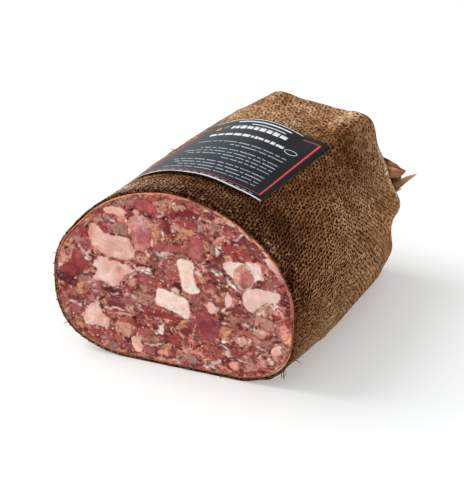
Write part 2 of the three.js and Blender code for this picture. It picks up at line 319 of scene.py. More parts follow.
def layeredNoise(points, size, layers=3, seed=0):
    return sum(latticeNoise(points, size / 2 ** k, seed + k) / 2 ** k for k in range(layers))


def joinGrids(parts):
    # several (points, faces) pairs as one mesh
    faces, start = [], 0
    for points, someFaces in parts:
        faces.extend([tuple(int(i) + start for i in face) for face in someFaces])
        start += len(points)
    return np.concatenate([points for points, _ in parts]), faces


# The body's skin, the same rules as the solids: a section of two half superellipses, with folds

body = {
    "widestHeight": 57.0,
    "halfWidths": (92.2, 98.0, 87.5),
    "topHeights": (128.0, 127.0, 138.5),
    "shoulderLeft": (1.9, 2.1), "shoulderRight": (1.8, 2.1),
    "footLeft": (3.1, 4.5), "footRight": (3.8, 4.5),
    "basePressedIn": 1.5,
    "rearSlope": -0.07, "slopeAboutX": -15.0, "slopeReach": 60.0, "slopeFrom": 0.35,
    # angle, spread, height, share of the length where it starts
    "folds": [(51.5, 9, 11.5, 0.35), (19, 12, -4, 0.35), (125, 20, -4, 0.35), (100, 9, 4, 0.8)],
    # angle, y, angle spread, y spread, height
    "touches": [
        (150, 0, 16, 70, -2.4), (1, 236, 7, 40, 3.0), (-12, 236, 9, 36, -5.2), (-27, 236, 9, 50, 1.8),
        (45, 234, 6, 26, 1.4), (64, 236, 9, 26, 2.0), (112, 236, 12, 36, 1.8),
    ],
}
bodyMiddle = np.array([0, 0, body["widestHeight"]])


def throughMiddle(values, t):
    # a curve that passes its middle value at half way
    first, middle, last = values
    pull = 2 * middle - (first + last) / 2
    return (1 - t) ** 2 * first + 2 * t * (1 - t) * pull + t * t * last


def bodyRadius(angle, t):
    share = smooth(t)
    over, right = np.sin(angle) > 0, np.cos(angle) > 0

    def sided(part):
        left, onRight = (body[part + side][0] + (body[part + side][1] - body[part + side][0]) * share
                         for side in ("Left", "Right"))
        return np.where(right, onRight, left)
    exponent = np.where(over, sided("shoulder"), sided("foot"))
    top = throughMiddle(body["topHeights"], t) - body["widestHeight"]
    height = np.where(over, top, body["widestHeight"] + body["basePressedIn"])
    width = throughMiddle(body["halfWidths"], t)
    across, up = np.abs(np.cos(angle)) / width, np.abs(np.sin(angle)) / height
    radius = (across ** exponent + up ** exponent) ** (-1 / exponent)
    degrees = np.degrees(angle)
    for foldAngle, spread, rise, start in body["folds"]:
        radius = radius + smooth((t - start) / (0.95 - start)) * rise * bell(degrees, foldAngle, spread)
    for touchAngle, y, spread, ySpread, rise in body["touches"]:
        away = ((degrees - touchAngle) / spread) ** 2 + ((t * bodyLength - y) / ySpread) ** 2
        radius = radius + rise * np.exp(-away)
    return radius


def bodyPoint(angle, y, inset):
    # a place on the skin; any of the three may be many values
    angle, y = np.broadcast_arrays(np.asarray(angle, float), np.asarray(y, float))
    t = y / bodyLength
    radius = bodyRadius(angle, t) - inset
    x, over = radius * np.cos(angle), radius * np.sin(angle)
    share = smooth((t - body["slopeFrom"]) / 0.6) * np.clip(over / body["slopeReach"], 0, 1)
    tilted = over + share * body["rearSlope"] * (x - body["slopeAboutX"])
    z = np.maximum(body["widestHeight"] + tilted, np.maximum(inset, 0))
    return np.stack([x, y, z], -1)


# The jute cloth: outer skin with folds and creases, gathered rear, neck and frill

cloth = {
    "columns": 384, "bodyRings": 150, "rearRings": 30,
    "thickness": 1.6, "rimRadius": 3.2, "cutLip": 0.15, "cutRounding": 0.45,
    "threadPitch": 2.5, "threadsAround": 214, "askew": 0.15,
    "huePowers": (0.8, 1.08, 1.4), "mostLight": 1.35, "innerLight": 0.5,    # damp cloth is redder
    # the inside: y, how far under the cloth's own inner face
    "innerRings": ((bodyLength - 8, 4.0), (150, 0.0), (60, 0.0), (14, 0.0), (3, 0.0), (0.4, 0.1)),
    "drapeSize": 42.0, "drapeHeight": 0.55, "rumpleSize": 12.0, "rumpleHeight": 0.16,
    # creases from (angle, y) to (angle, y), height and half width in mm
    "creases": [
        (60, 208, 58, 236, 0.7, 2.2), (60, 208, 66, 190, 0.5, 3.0), (38, 196, 22, 236, 0.8, 3.5),
        (24, 108, 12, 62, 0.9, 7.0), (12, 62, 4, 26, 0.8, 6.0), (24, 108, 40, 150, 0.5, 6.0),
        (38, 229, -10, 229, 0.9, 2.6), (8, 170, -14, 236, 0.9, 4.0), (-8, 120, -28, 190, 0.7, 5.0),
        (-24, 60, -34, 120, 0.5, 5.0), (100, 190, 104, 236, 0.7, 4.0), (118, 200, 132, 236, 0.8, 4.0),
        (150, 150, 164, 236, 0.9, 5.0), (160, 60, 150, 130, 0.6, 6.0), (-170, 90, -158, 236, 0.8, 5.0),
        (172, 20, -176, 90, 0.6, 5.0),
    ],
    # darker and lighter areas, partly damp and dry cloth and partly painted shade and painted highlights: angle,
    # y, angle spread, y spread, how dark (1 is unchanged)
    "paintedLightAndStains": [
        (42, 34, 27, 46, 0.2), (4, 6, 30, 34, 0.55), (42, 104, 15, 42, 0.24), (41, 168, 19, 40, 0.5),
        (58, 175, 14, 40, 0.62), (59, 206, 3, 26, 1.5), (33, 10, 9, 12, 1.6), (-14, 6, 13, 16, 0.62),
        (18, 146, 8, 24, 1.2), (-3, 86, 7, 28, 1.1), (74, 16, 26, 22, 0.36), (64, 35, 22, 7, 0.22),
        (88, 32, 16, 7, 0.3), (112, 40, 24, 8, 0.25), (2, 36, 14, 26, 0.72), (20, 90, 18, 40, 0.9),
        (6, 186, 20, 50, 1.08), (80, 222, 34, 26, 1.04), (17, 229, 16, 4.5, 1.75), (17, 221, 16, 3, 0.7),
        (-20, 130, 20, 60, 0.98), (100, 8, 25, 14, 0.8), (165, 60, 20, 60, 0.8), (124, 12, 16, 18, 1.1),
        (100, 12, 10, 12, 0.86), (30, 20, 30, 40, 0.88),
    ],
    "neckX": 26.0, "neckZ": 72.0, "neckProud": 4.0, "neckLean": 25.0, "mouthRadius": 9.5,
    # the neck and its frill, out and back in: distance along the neck, radius, depth of the pleats
    "neckRings": [
        (1.2, 10.3, 0.1), (3, 9.6, 0.11), (5, 9.0, 0.11), (7, 8.4, 0.1), (8.6, 8.0, 0.08),
        (10, 7.8, 0.07), (11.4, 8.0, 0.09), (13, 8.8, 0.13), (15, 9.8, 0.17), (17, 10.8, 0.2),
        (19, 11.6, 0.22), (20.3, 11.9, 0.23), (20.6, 11.5, 0.23), (20.2, 11.1, 0.23),
        (18.5, 10.2, 0.22), (16, 8.2, 0.2), (13, 5.6, 0.18), (11.5, 3.0, 0.15),
    ],
}
label = {
    "thickness": 0.4, "clearance": 0.7, "lift": 2.6, "liftLength": 22.0,
    "front": ((50, 40), (86, 37), (135, 54)),
    "back": ((50, 157), (92, 178), (130, 182)),
    "across": 84, "along": 72,
}
# distances along the skin at one section, for places that are given as angles
arcAngles = np.linspace(-math.pi, math.pi, 721)
arcPlaces = pathLengths(bodyPoint(arcAngles, 70.0, 0))


def arcAt(angle):
    return np.interp(angle, arcAngles, arcPlaces)


def creaseRelief(angle, y):
    total = np.zeros(np.shape(angle))
    u = arcAt(angle)
    for fromAngle, fromY, toAngle, toY, rise, width in cloth["creases"]:
        start = np.array([arcAt(math.radians(fromAngle)), fromY])
        axis = np.array([arcAt(math.radians(toAngle)), toY]) - start
        share = np.clip(((u - start[0]) * axis[0] + (y - start[1]) * axis[1]) / (axis @ axis), 0, 1)
        away = np.hypot(u - start[0] - share * axis[0], y - start[1] - share * axis[1])
        total += rise * bell(away, 0, width)
    return total


def clothRelief(points, angle, y):
    degrees = np.degrees(angle)
    drape = cloth["drapeHeight"] * layeredNoise(points, cloth["drapeSize"], 2, 3)
    rumple = cloth["rumpleHeight"] * layeredNoise(points, cloth["rumpleSize"], 2, 9)
    # the cloth lies quiet under the label
    underLabel = smooth((degrees - 44) / 8) * smooth((140 - degrees) / 8)
    underLabel = underLabel * smooth((y - 30) / 12) * smooth((190 - y) / 12)
    # its cut edge curls outwards over the top and at the lower right corner
    degrees = degrees % 360
    side = 0.2 * smooth(np.sin(angle) + 0.3) + 0.9 * bell(degrees, 326, 8)
    wavy = 0.75 + 0.35 * np.sin(degrees * 0.31) + 0.3 * np.sin(degrees * 0.83 + 2)
    flare = 1.3 * side * wavy * (1 - smooth(y / 7))
    return (drape + rumple + creaseRelief(angle, y)) * (1 - 0.85 * underLabel) + flare


neckLean = math.radians(cloth["neckLean"])
neckAxis = np.array([math.sin(neckLean), math.cos(neckLean), 0])
neckSide = np.array([neckAxis[1], -neckAxis[0], 0])
neckFoot = np.array([cloth["neckX"], bodyLength + cloth["neckProud"], cloth["neckZ"]])


def gathers(angles):
    # round folds with sharp valleys between them, from -1 to about 1
    wide = np.abs(np.cos(angles * 8 + 0.5 * np.sin(angles * 3 + 1))) ** 0.7
    narrow = np.abs(np.cos(angles * 13 + 0.7 * np.sin(angles * 2))) ** 0.8
    return 1.5 * wide + 0.7 * narrow - 1.35


def neckRing(angles, distance, radius, pleats):
    # pleats: how deep the gathers cut in, as a share of the radius
    ruffled = radius * (1 + pleats * gathers(angles))
    points = neckFoot + neckAxis * distance + np.outer(ruffled * np.cos(angles), neckSide)
    points[:, 2] += ruffled * np.sin(angles)
    return points


def rearRing(angles, toNeck):
    # the gathered rear face, from the rim (0) to the neck (1)
    rim = bodyPoint(angles, bodyLength, 0)
    ring = rim + (neckRing(angles, 0, cloth["mouthRadius"] + 1, 0) - rim) * toNeck
    pleat = 3.0 * smooth((toNeck - 0.05) * 1.35) * (1 - 0.55 * smooth((toNeck - 0.8) / 0.2))
    ring[:, 1] = bodyLength + 0.6 + 4.6 * smooth(toNeck * 1.3) + pleat * gathers(angles)
    return ring


def clothTone(points, angle, y):
    # how light the cloth is: damp near the cut, dry and pale at the rear, with painted shade where the cut meets
    # the floor, under the label and between the gathers, and painted highlights along the creases
    # painted highlight along the crease ridges
    light = 1 + 0.22 * np.clip(creaseRelief(angle, y), 0, 1.2)
    ragged = layeredNoise(points, 26, 3, 61)
    degrees = np.degrees(angle)
    # painted shade and painted highlights, with damp and dry patches, from the table
    for atAngle, atY, angleSpread, ySpread, factor in cloth["paintedLightAndStains"]:
        away = np.hypot((degrees - atAngle) / angleSpread, (y - atY) / ySpread) + 0.3 * ragged
        light *= 1 + (factor - 1) * np.exp(-np.maximum(away, 0) ** 2)
    # painted shadow under the lifted edge of the label
    light *= 1 - 0.42 * smooth((36 - y) / 8) * bell(degrees, 76, 22)
    light *= 1 - 0.07 * smooth((y - 40) / 50)
    x, depth, z = points.T
    # painted shadow where the cut edge meets the floor
    light *= 1 - 0.75 * (1 - smooth((depth - 1) / 5)) * (1 - smooth((z - 2) / 9))
    # the cut edge itself is darkened, partly its own darker colour and partly painted shade, with golden specks
    # at the left and lower left
    edge = 1 - smooth((depth - 0.3) / 1.4)
    specks = smooth((-x - 10) / 30) * smooth((104 - z) / 24) * (latticeNoise(points, 1.3, 41) > 0.1)
    light *= 1 - 0.7 * edge + 2.4 * edge * specks
    # worn flecks along the front strip
    worn = latticeNoise(points, 2.2, 31) + 0.5 * latticeNoise(points, 1.1, 32) - 0.25
    light *= 1 + 2.0 * smooth((26 - depth) / 20) * smooth((z - 30) / 40) * np.clip(worn, -0.35, 1.2)
    # painted shade deep between the gathers
    rear = smooth((depth - bodyLength) / 4)
    light = np.minimum(light, cloth["mostLight"]) * (1 - 0.4 * rear * smooth((-gathers(angle) - 0.1) / 0.8))
    colours = light[:, None] ** cloth["huePowers"]
    faded = smooth((z - 84) / 30) * smooth((56 - depth) / 30)
    dry = smooth((depth - 90) / 70) * smooth((z - 60) / 40)
    return colours * (1 + np.outer(faded, (-0.05, 0.13, 0.5))) * (1 + np.outer(dry, (-0.07, 0.03, 0.14)))


def makeCloth(material):
    columns, thickness, rim = cloth["columns"], cloth["thickness"], cloth["rimRadius"]
    angles = fullTurn(columns)
    # rings as (points, y on the body for relief, share of the relief): the inside, the cut edge, the outside
    rings = [(bodyPoint(angles, y, thickness + extra), y, 0.0) for y, extra in cloth["innerRings"]]
    for inset in (thickness - cloth["cutRounding"], cloth["cutRounding"]):
        rings.append((bodyPoint(angles, -cloth["cutLip"], inset), 0, 0.0))
    for y in np.linspace(0.3, bodyLength - rim, cloth["bodyRings"]):
        rings.append((bodyPoint(angles, y, 0), y, 1.0))
    # the rounded rear rim
    for turn in np.radians((20, 40, 60, 80)):
        y = bodyLength - rim + rim * math.sin(turn)
        rings.append((bodyPoint(angles, y, rim * (1 - math.cos(turn))), bodyLength, 1.0))
    for toNeck in np.linspace(0.045, 0.985, cloth["rearRings"]):
        rings.append((rearRing(angles, toNeck), bodyLength, 1.0 - toNeck))
    for sizes in cloth["neckRings"]:
        rings.append((neckRing(angles, *sizes), bodyLength, 0.0))
    rows = len(rings)
    points = np.concatenate([ring[0] for ring in rings])
    y, share = (np.repeat([ring[k] for ring in rings], columns) for k in (1, 2))
    angle = np.tile(angles, rows)
    normals = ringNormals(points, rows, columns)
    fromAxis = np.sum(normals * (points - bodyMiddle - (0, bodyLength / 2, 0)), axis=1)
    outwards = np.sign(fromAxis.reshape(rows, columns)[rows // 8].mean())
    points = points + normals * outwards * (clothRelief(points, angle, y) * share)[:, None]
    points[:, 2] = np.maximum(points[:, 2], 0)      # nothing goes under the floor
    # threads: u counts the warp round the body, v the weft along the skin, wider apart towards the tied end
    grid = points.reshape(rows, columns, 3)
    step = np.linalg.norm(np.diff(grid, axis=0), axis=2).mean(axis=1)
    pulled = 1.02 + 0.2 * smooth((np.array([ring[1] for ring in rings[1:]]) - 80) / 120)
    along = np.concatenate([[0], np.cumsum(step / pulled)]) / cloth["threadPitch"]
    around = np.append(arcAt(angles), arcPlaces[-1]) / arcPlaces[-1] * cloth["threadsAround"]
    laid = np.broadcast_arrays(around[None, :] - cloth["askew"] * along[:, None], along[:, None])
    wide = columns + 1
    uvFaces = list(map(tuple, gridFaces(rows, wide).tolist()))
    uvFaces += [(wide, i + 1, i) for i in range(columns)] + [(wide, i, i + 1) for i in range(columns)]
    hidden = [np.power(cloth["innerLight"], cloth["huePowers"])] * 2
    colours = np.vstack([clothTone(points, angle, y), hidden])
    points = np.concatenate([points, grid[[0, -1]].mean(axis=1)])
    faces = tubeFaces(rows, columns)
    if signedVolume(points, faces) < 0:
        faces, uvFaces = ([face[::-1] for face in some] for some in (faces, uvFaces))
    laid = np.stack(laid, -1).reshape(-1, 2)
    return makePiece("juteCloth", points, faces, material, laid, uvFaces, colours)


def juteMaterial():
    material, tree, shader = startMaterial("juteWeave", Roughness=0.95, Specular_IOR_Level=0.04)
    spots = objectPoints(tree)
    place = node(tree, "SeparateXYZ", None, Vector=spots).outputs

    def times(first, second):
        return math2(tree, "MULTIPLY", first, second)

    def line(value, slope, rest):
        return math2(tree, "MULTIPLY_ADD", value, slope, rest)

    def aboutMiddle(value, middle, slope, rest):
        return line(math2(tree, "SUBTRACT", value, middle), slope, rest)

    def wave(kind, value, pace=math.pi):
        return math2(tree, kind, times(value, pace))

    def stretched(x, y):
        return node(tree, "VectorMath", {"operation": "MULTIPLY"}, in0=threads, in1=(x, y, 1))

    def between(share, first, second):
        return node(tree, "Mix", {"data_type": "FLOAT"}, in0=share, in2=first, in3=second)

    # the thread lines wander slowly, and jitter a little: scale, detail, reach
    threads = node(tree, "UVMap").outputs["UV"]
    for scale, detail, reach in ((85.0, 4.0, 2.1), (330.0, 1.0, 1.5)):
        sway = node(tree, "TexNoise", None, Vector=spots, Scale=scale, Detail=detail).outputs["Color"]
        threads = node(tree, "VectorMath", {"operation": "MULTIPLY_ADD"},
                       in0=sway, in1=(reach, reach, 0), in2=threads)
    split = node(tree, "SeparateXYZ", None, Vector=threads).outputs
    u, v = split["X"], split["Y"]
    warp, weft = (times(math2(tree, "POWER", math2(tree, "ABSOLUTE", wave("SINE", way)), 0.7), high)
                  for way, high in ((u, 0.8), (v, 0.68)))
    height = math2(tree, "MAXIMUM", warp, weft)
    # slubs: each thread has its own tone that changes slowly along it
    slub = between(math2(tree, "GREATER_THAN", warp, weft), noiseOf(tree, stretched(0.28, 0.9), 1.3, 2.0),
                   noiseOf(tree, stretched(0.9, 0.28), 1.0, 2.0))
    # a random number for every crossing
    crossing = node(tree, "CombineXYZ", None, X=math2(tree, "ROUND", u), Y=math2(tree, "ROUND", v))
    single = node(tree, "TexWhiteNoise", None, Vector=crossing).outputs["Value"]
    fibre = noiseOf(tree, spots, 1300.0, 3.0, 0.7)
    # cloth whose painted tone is pale, from dryness and from painted highlights, and cloth far from the cut is
    # hairy, so that its gaps hardly show
    lightness = paintedTone(tree)
    green = node(tree, "SeparateColor", None, Color=lightness).outputs["Green"]
    openness = times(mapped(tree, green, 0.85, 1.4, 1.0, 0.25),
                     mapped(tree, place["Y"], -0.01, 0.07, 1.0, 0.4))
    nearCut = mapped(tree, place["Y"], -0.075, -0.015, 1.0, 0.35)
    # the yarn's twist slants each stitch, one way near the cut and the other way far down the sides
    rising = wave("COSINE", math2(tree, "SUBTRACT", v, u))
    falling = wave("COSINE", math2(tree, "ADD", v, u))
    farDown = times(mapped(tree, place["Z"], 0.1, 0.075), mapped(tree, place["Y"], -0.05, 0.0))
    slanted = between(line(farDown, 0.26, 0.4), rising, falling)
    gap = math2(tree, "POWER", math2(tree, "MAXIMUM", times(slanted, -1.0), 0.0), 0.95)
    dots = times(times(gap, openness), line(single, -0.8, -0.36))
    rows = times(times(times(openness, nearCut), line(farDown, 0.1, -0.22)), wave("COSINE", u, 2 * math.pi))
    dashes = mapped(tree, noiseOf(tree, stretched(1.7, 0.45), 1.0, 1.0), 0.62, 0.74, 0.0, 0.3)
    shade = aboutMiddle(height, 0.65, line(openness, 0.26, 0.08), 0.72)
    shade = aboutMiddle(slub, 0.5, 1.1, shade)
    for more in (dots, rows, dashes):
        shade = math2(tree, "ADD", shade, more)
    shade = aboutMiddle(fibre, 0.5, line(openness, 1.3, 0.2), shade)
    shade = aboutMiddle(noiseOf(tree, spots, 300.0, 2.0), 0.5, line(openness, -0.1, 0.7), shade)
    shade = aboutMiddle(noiseOf(tree, spots, 24.0, 4.0, 0.6), 0.5, 0.4, shade)
    colour = ramp(tree, shade, (0.1, tone(20, 6, 0)), (0.36, tone(94, 52, 22)), (0.65, tone(162, 112, 70)),
                  (0.94, tone(232, 190, 150)))
    clouded = ramp(tree, noiseOf(tree, spots, 60.0, 3.0), (0.35, tone(228, 214, 200)),
                   (0.65, tone(255, 255, 255)))
    colour = multiplied(tree, multiplied(tree, colour, clouded), lightness)
    tree.links.new(colour, shader.inputs["Base Color"])
    raised = times(line(gap, -0.8, height), line(openness, 0.7, 0.3))
    addBump(tree, shader, line(fibre, 0.25, raised), 1.0, 0.0011)
    return material


# Short fibres that stand off the cloth, and the cut threads round the cut face

fuzz = {
    "density": 20000.0, "length": 0.0019, "seed": 5,
    "fromY": 9.0, "toY": 232.0, "rows": 60, "columns": 160, "overFloor": 2,
}
stubs = {"count": 400, "length": 0.0013, "radius": 0.0006, "seed": 8}


def startTree(name, **sizes):
    # a tree with named inputs; each size is given as its kind
    tree = bpy.data.node_groups.new(name, "GeometryNodeTree")
    for title, kind in {"Geometry": "Geometry", **sizes}.items():
        tree.interface.new_socket(title, in_out="INPUT", socket_type="NodeSocket" + kind)
    tree.interface.new_socket("Geometry", in_out="OUTPUT", socket_type="NodeSocketGeometry")
    return tree, tree.nodes.new("NodeGroupInput").outputs


def randomOf(tree, low, high, seed):
    kind = "FunctionNodeRandomValue"
    if isinstance(low, tuple):
        return node(tree, kind, {"data_type": "FLOAT_VECTOR"}, in0=low, in1=high, Seed=seed)
    return node(tree, kind, {"data_type": "FLOAT"}, in2=low, in3=high, Seed=seed).outputs[1]


def strewn(tree, asked):
    return node(tree, "GeometryNodeDistributePointsOnFaces", None,
                Mesh=asked["Geometry"], Density=asked["Density"], Seed=asked["Seed"])


def endTree(tree, points, shape, turn, scale, material):
    # a copy of the shape on every point, as real mesh in its material
    copies = node(tree, "GeometryNodeInstanceOnPoints", None,
                  Points=points, Instance=shape, Rotation=turn, Scale=scale)
    real = node(tree, "GeometryNodeRealizeInstances", None, Geometry=copies)
    painted = node(tree, "GeometryNodeSetMaterial", None, Geometry=real, Material=material)
    tree.links.new(painted.outputs[0], tree.nodes.new("NodeGroupOutput").inputs[0])
    return tree


def grownPiece(name, base, tree, values):
    # runs a tree on a carrier, keeps the result as a plain mesh and drops the carrier
    modifier = base.modifiers.new("grown", "NODES")
    modifier.node_group = tree
    for item in tree.interface.items_tree:
        if item.item_type == "SOCKET" and item.in_out == "INPUT" and item.name.lower() in values:
            modifier[item.identifier] = values[item.name.lower()]
    bpy.context.view_layer.update()
    mesh = bpy.data.meshes.new_from_object(base.evaluated_get(bpy.context.evaluated_depsgraph_get()))
    mesh.name = name
    base.modifiers.remove(modifier)
    bpy.data.objects.remove(base)
    print(name, len(mesh.polygons), "faces")
    return newObject(name, mesh)


def makeFuzz(material):
    tree, asked = startTree("looseFibres", Density="Float", Length="Float", Seed="Int")
    points = strewn(tree, asked)
    arc = node(tree, "GeometryNodeCurveQuadraticBezier", None, Resolution=4, Start=(0, 0, -0.05),
               Middle=(0.55, 0.0, 0.42), End=(1.0, 0.25, 0.12))
    profile = node(tree, "GeometryNodeCurvePrimitiveCircle", None, Resolution=3, Radius=0.026)
    fibre = node(tree, "GeometryNodeCurveToMesh", None, Curve=arc, Profile_Curve=profile, Fill_Caps=True)
    turn = node(tree, "CombineXYZ", None, Z=randomOf(tree, 0.0, 6.283, 3))
    lean = node(tree, "FunctionNodeRotateRotation", {"rotation_space": "LOCAL"},
                Rotation=points.outputs["Rotation"], Rotate_By=turn)
    scale = math2(tree, "MULTIPLY", randomOf(tree, 0.35, 1.0, 4), asked["Length"])
    endTree(tree, points, fibre, lean, scale, material)

    # the carrier is the skin of the body, without what lies on the floor
    places = np.linspace(fuzz["fromY"], fuzz["toY"], fuzz["rows"])
    points = np.concatenate([bodyPoint(fullTurn(fuzz["columns"]), y, 0.0) for y in places])
    faces = [face for face in gridFaces(fuzz["rows"], fuzz["columns"], closed=True).tolist()
             if points[face, 2].max() > fuzz["overFloor"]]
    a, b, c, _ = points[faces[10]]
    if np.dot(np.cross(b - a, c - a), a - (0, a[1], body["widestHeight"])) < 0:
        faces = [face[::-1] for face in faces]
    return grownPiece("juteFuzz", makePiece("fuzzCarrier", points, faces, material), tree, fuzz)


def makeStubs(material):
    tree, asked = startTree("cutThreads", Length="Float", Radius="Float", Seed="Int")
    points = node(tree, "GeometryNodeMeshToPoints", None, Mesh=asked["Geometry"])
    stub = node(tree, "GeometryNodeMeshCone", None,
                Vertices=6, Side_Segments=3, Radius_Top=0.32, Radius_Bottom=1.0, Depth=1.0)
    bend = randomOf(tree, (1.1, -0.6, 0.0), (2.05, 0.6, 6.28), asked["Seed"])
    thick = math2(tree, "MULTIPLY", randomOf(tree, 0.7, 1.25, 2), asked["Radius"])
    long = math2(tree, "MULTIPLY", randomOf(tree, 0.5, 1.5, 6), asked["Length"])
    endTree(tree, points, stub, bend, node(tree, "CombineXYZ", None, X=thick, Y=thick, Z=long), material)

    places = np.linspace(0, arcPlaces[-1], stubs["count"], endpoint=False)
    points = bodyPoint(np.interp(places, arcPlaces, arcAngles), 0.2, cloth["thickness"] * 0.5)
    points[:, 2] = np.maximum(points[:, 2], 0.9)
    return grownPiece("cutThreads", makePiece("stubCarrier", points, [], material), tree, stubs)


# single threads that hang loose: starting angle, y, length, then where they point (x, y, z)
looseThreads = [
    (-30, 7, 6, (0.35, -0.2, -0.95)), (-30.5, 7.6, 5.5, (0.45, -0.1, -0.9)),
    (-29.5, 6.4, 5, (0.25, -0.3, -0.9)), (-31, 7, 4.5, (0.4, -0.4, -0.9)),
    (-30, 8.4, 4.5, (0.5, 0.1, -0.8)), (-26, 16, 5, (0.9, 0.1, -0.3)),
    (136, 128, 8, (-0.5, -0.75, 0.5)), (-155, 0.5, 3.5, (-0.7, -0.6, -0.3)),
    (172, 0.8, 3, (-0.8, -0.6, 0.3)), (20, 140, 6, (0.8, 0.5, 0.2)), (-10, 60, 6, (0.9, 0.3, -0.3)),
]


def makeLooseThreads(material):
    parts = []
    thick = np.linspace(0.46, 0.16, 14)
    share = np.linspace(0, 1, len(thick))[:, None]
    for number, (degrees, y, length, way) in enumerate(looseThreads):
        way = unit(np.array(way))
        curl = 0.9 * np.sin(share * (4 + number % 3)) * share
        path = bodyPoint(math.radians(degrees), y, 0.5) + way * share * length
        path = path + np.cross(way, (0.2, 0.9, 0.4)) * curl
        path[:, 2:] = np.maximum(path[:, 2:] - 0.12 * length * share ** 2, 0.4)
        parts.append(tube(path, thick, 5))
    return makePiece("looseThreads", *joinGrids(parts), material)


def fibreMaterial(name, dark, light, scale):
    return mottledMaterial(name, (scale, 2.0), (0.3, dark), (0.7, light),
                           Roughness=0.9, Specular_IOR_Level=0.2)


# The cut face. Kinds of meat and fat, as seen on the cut

kinds = {
    "mince": (172, 86, 76), "rose": (174, 84, 82), "crimson": (128, 36, 40), "deep": (94, 20, 24),
    "plum": (130, 46, 54), "mauve": (160, 88, 86), "red": (164, 60, 56), "brown": (142, 70, 56),
    "blood": (112, 12, 14), "pale": (228, 190, 178), "cream": (242, 222, 210), "pink": (222, 146, 130),
    "gold": (220, 154, 106), "jelly": (166, 114, 98), "grey": (166, 122, 110), "tan": (200, 140, 118),
    "peach": (242, 194, 172), "dark": (88, 30, 22),
}
# how often each kind is drawn
fillWeights = {
    "mince": 0.52, "rose": 0.10, "red": 0.06, "crimson": 0.07, "plum": 0.04, "brown": 0.06, "tan": 0.06,
    "pale": 0.02, "pink": 0.03, "jelly": 0.04, "gold": 0.01,
}
crumbWeights = {
    "mince": 0.24, "rose": 0.15, "red": 0.14, "crimson": 0.12, "brown": 0.12, "tan": 0.10, "pink": 0.06,
    "gold": 0.04, "pale": 0.03,
}
fleckWeights = {
    "dark": 0.25, "crimson": 0.22, "brown": 0.10, "gold": 0.11, "pale": 0.06, "pink": 0.13, "rose": 0.13,
}

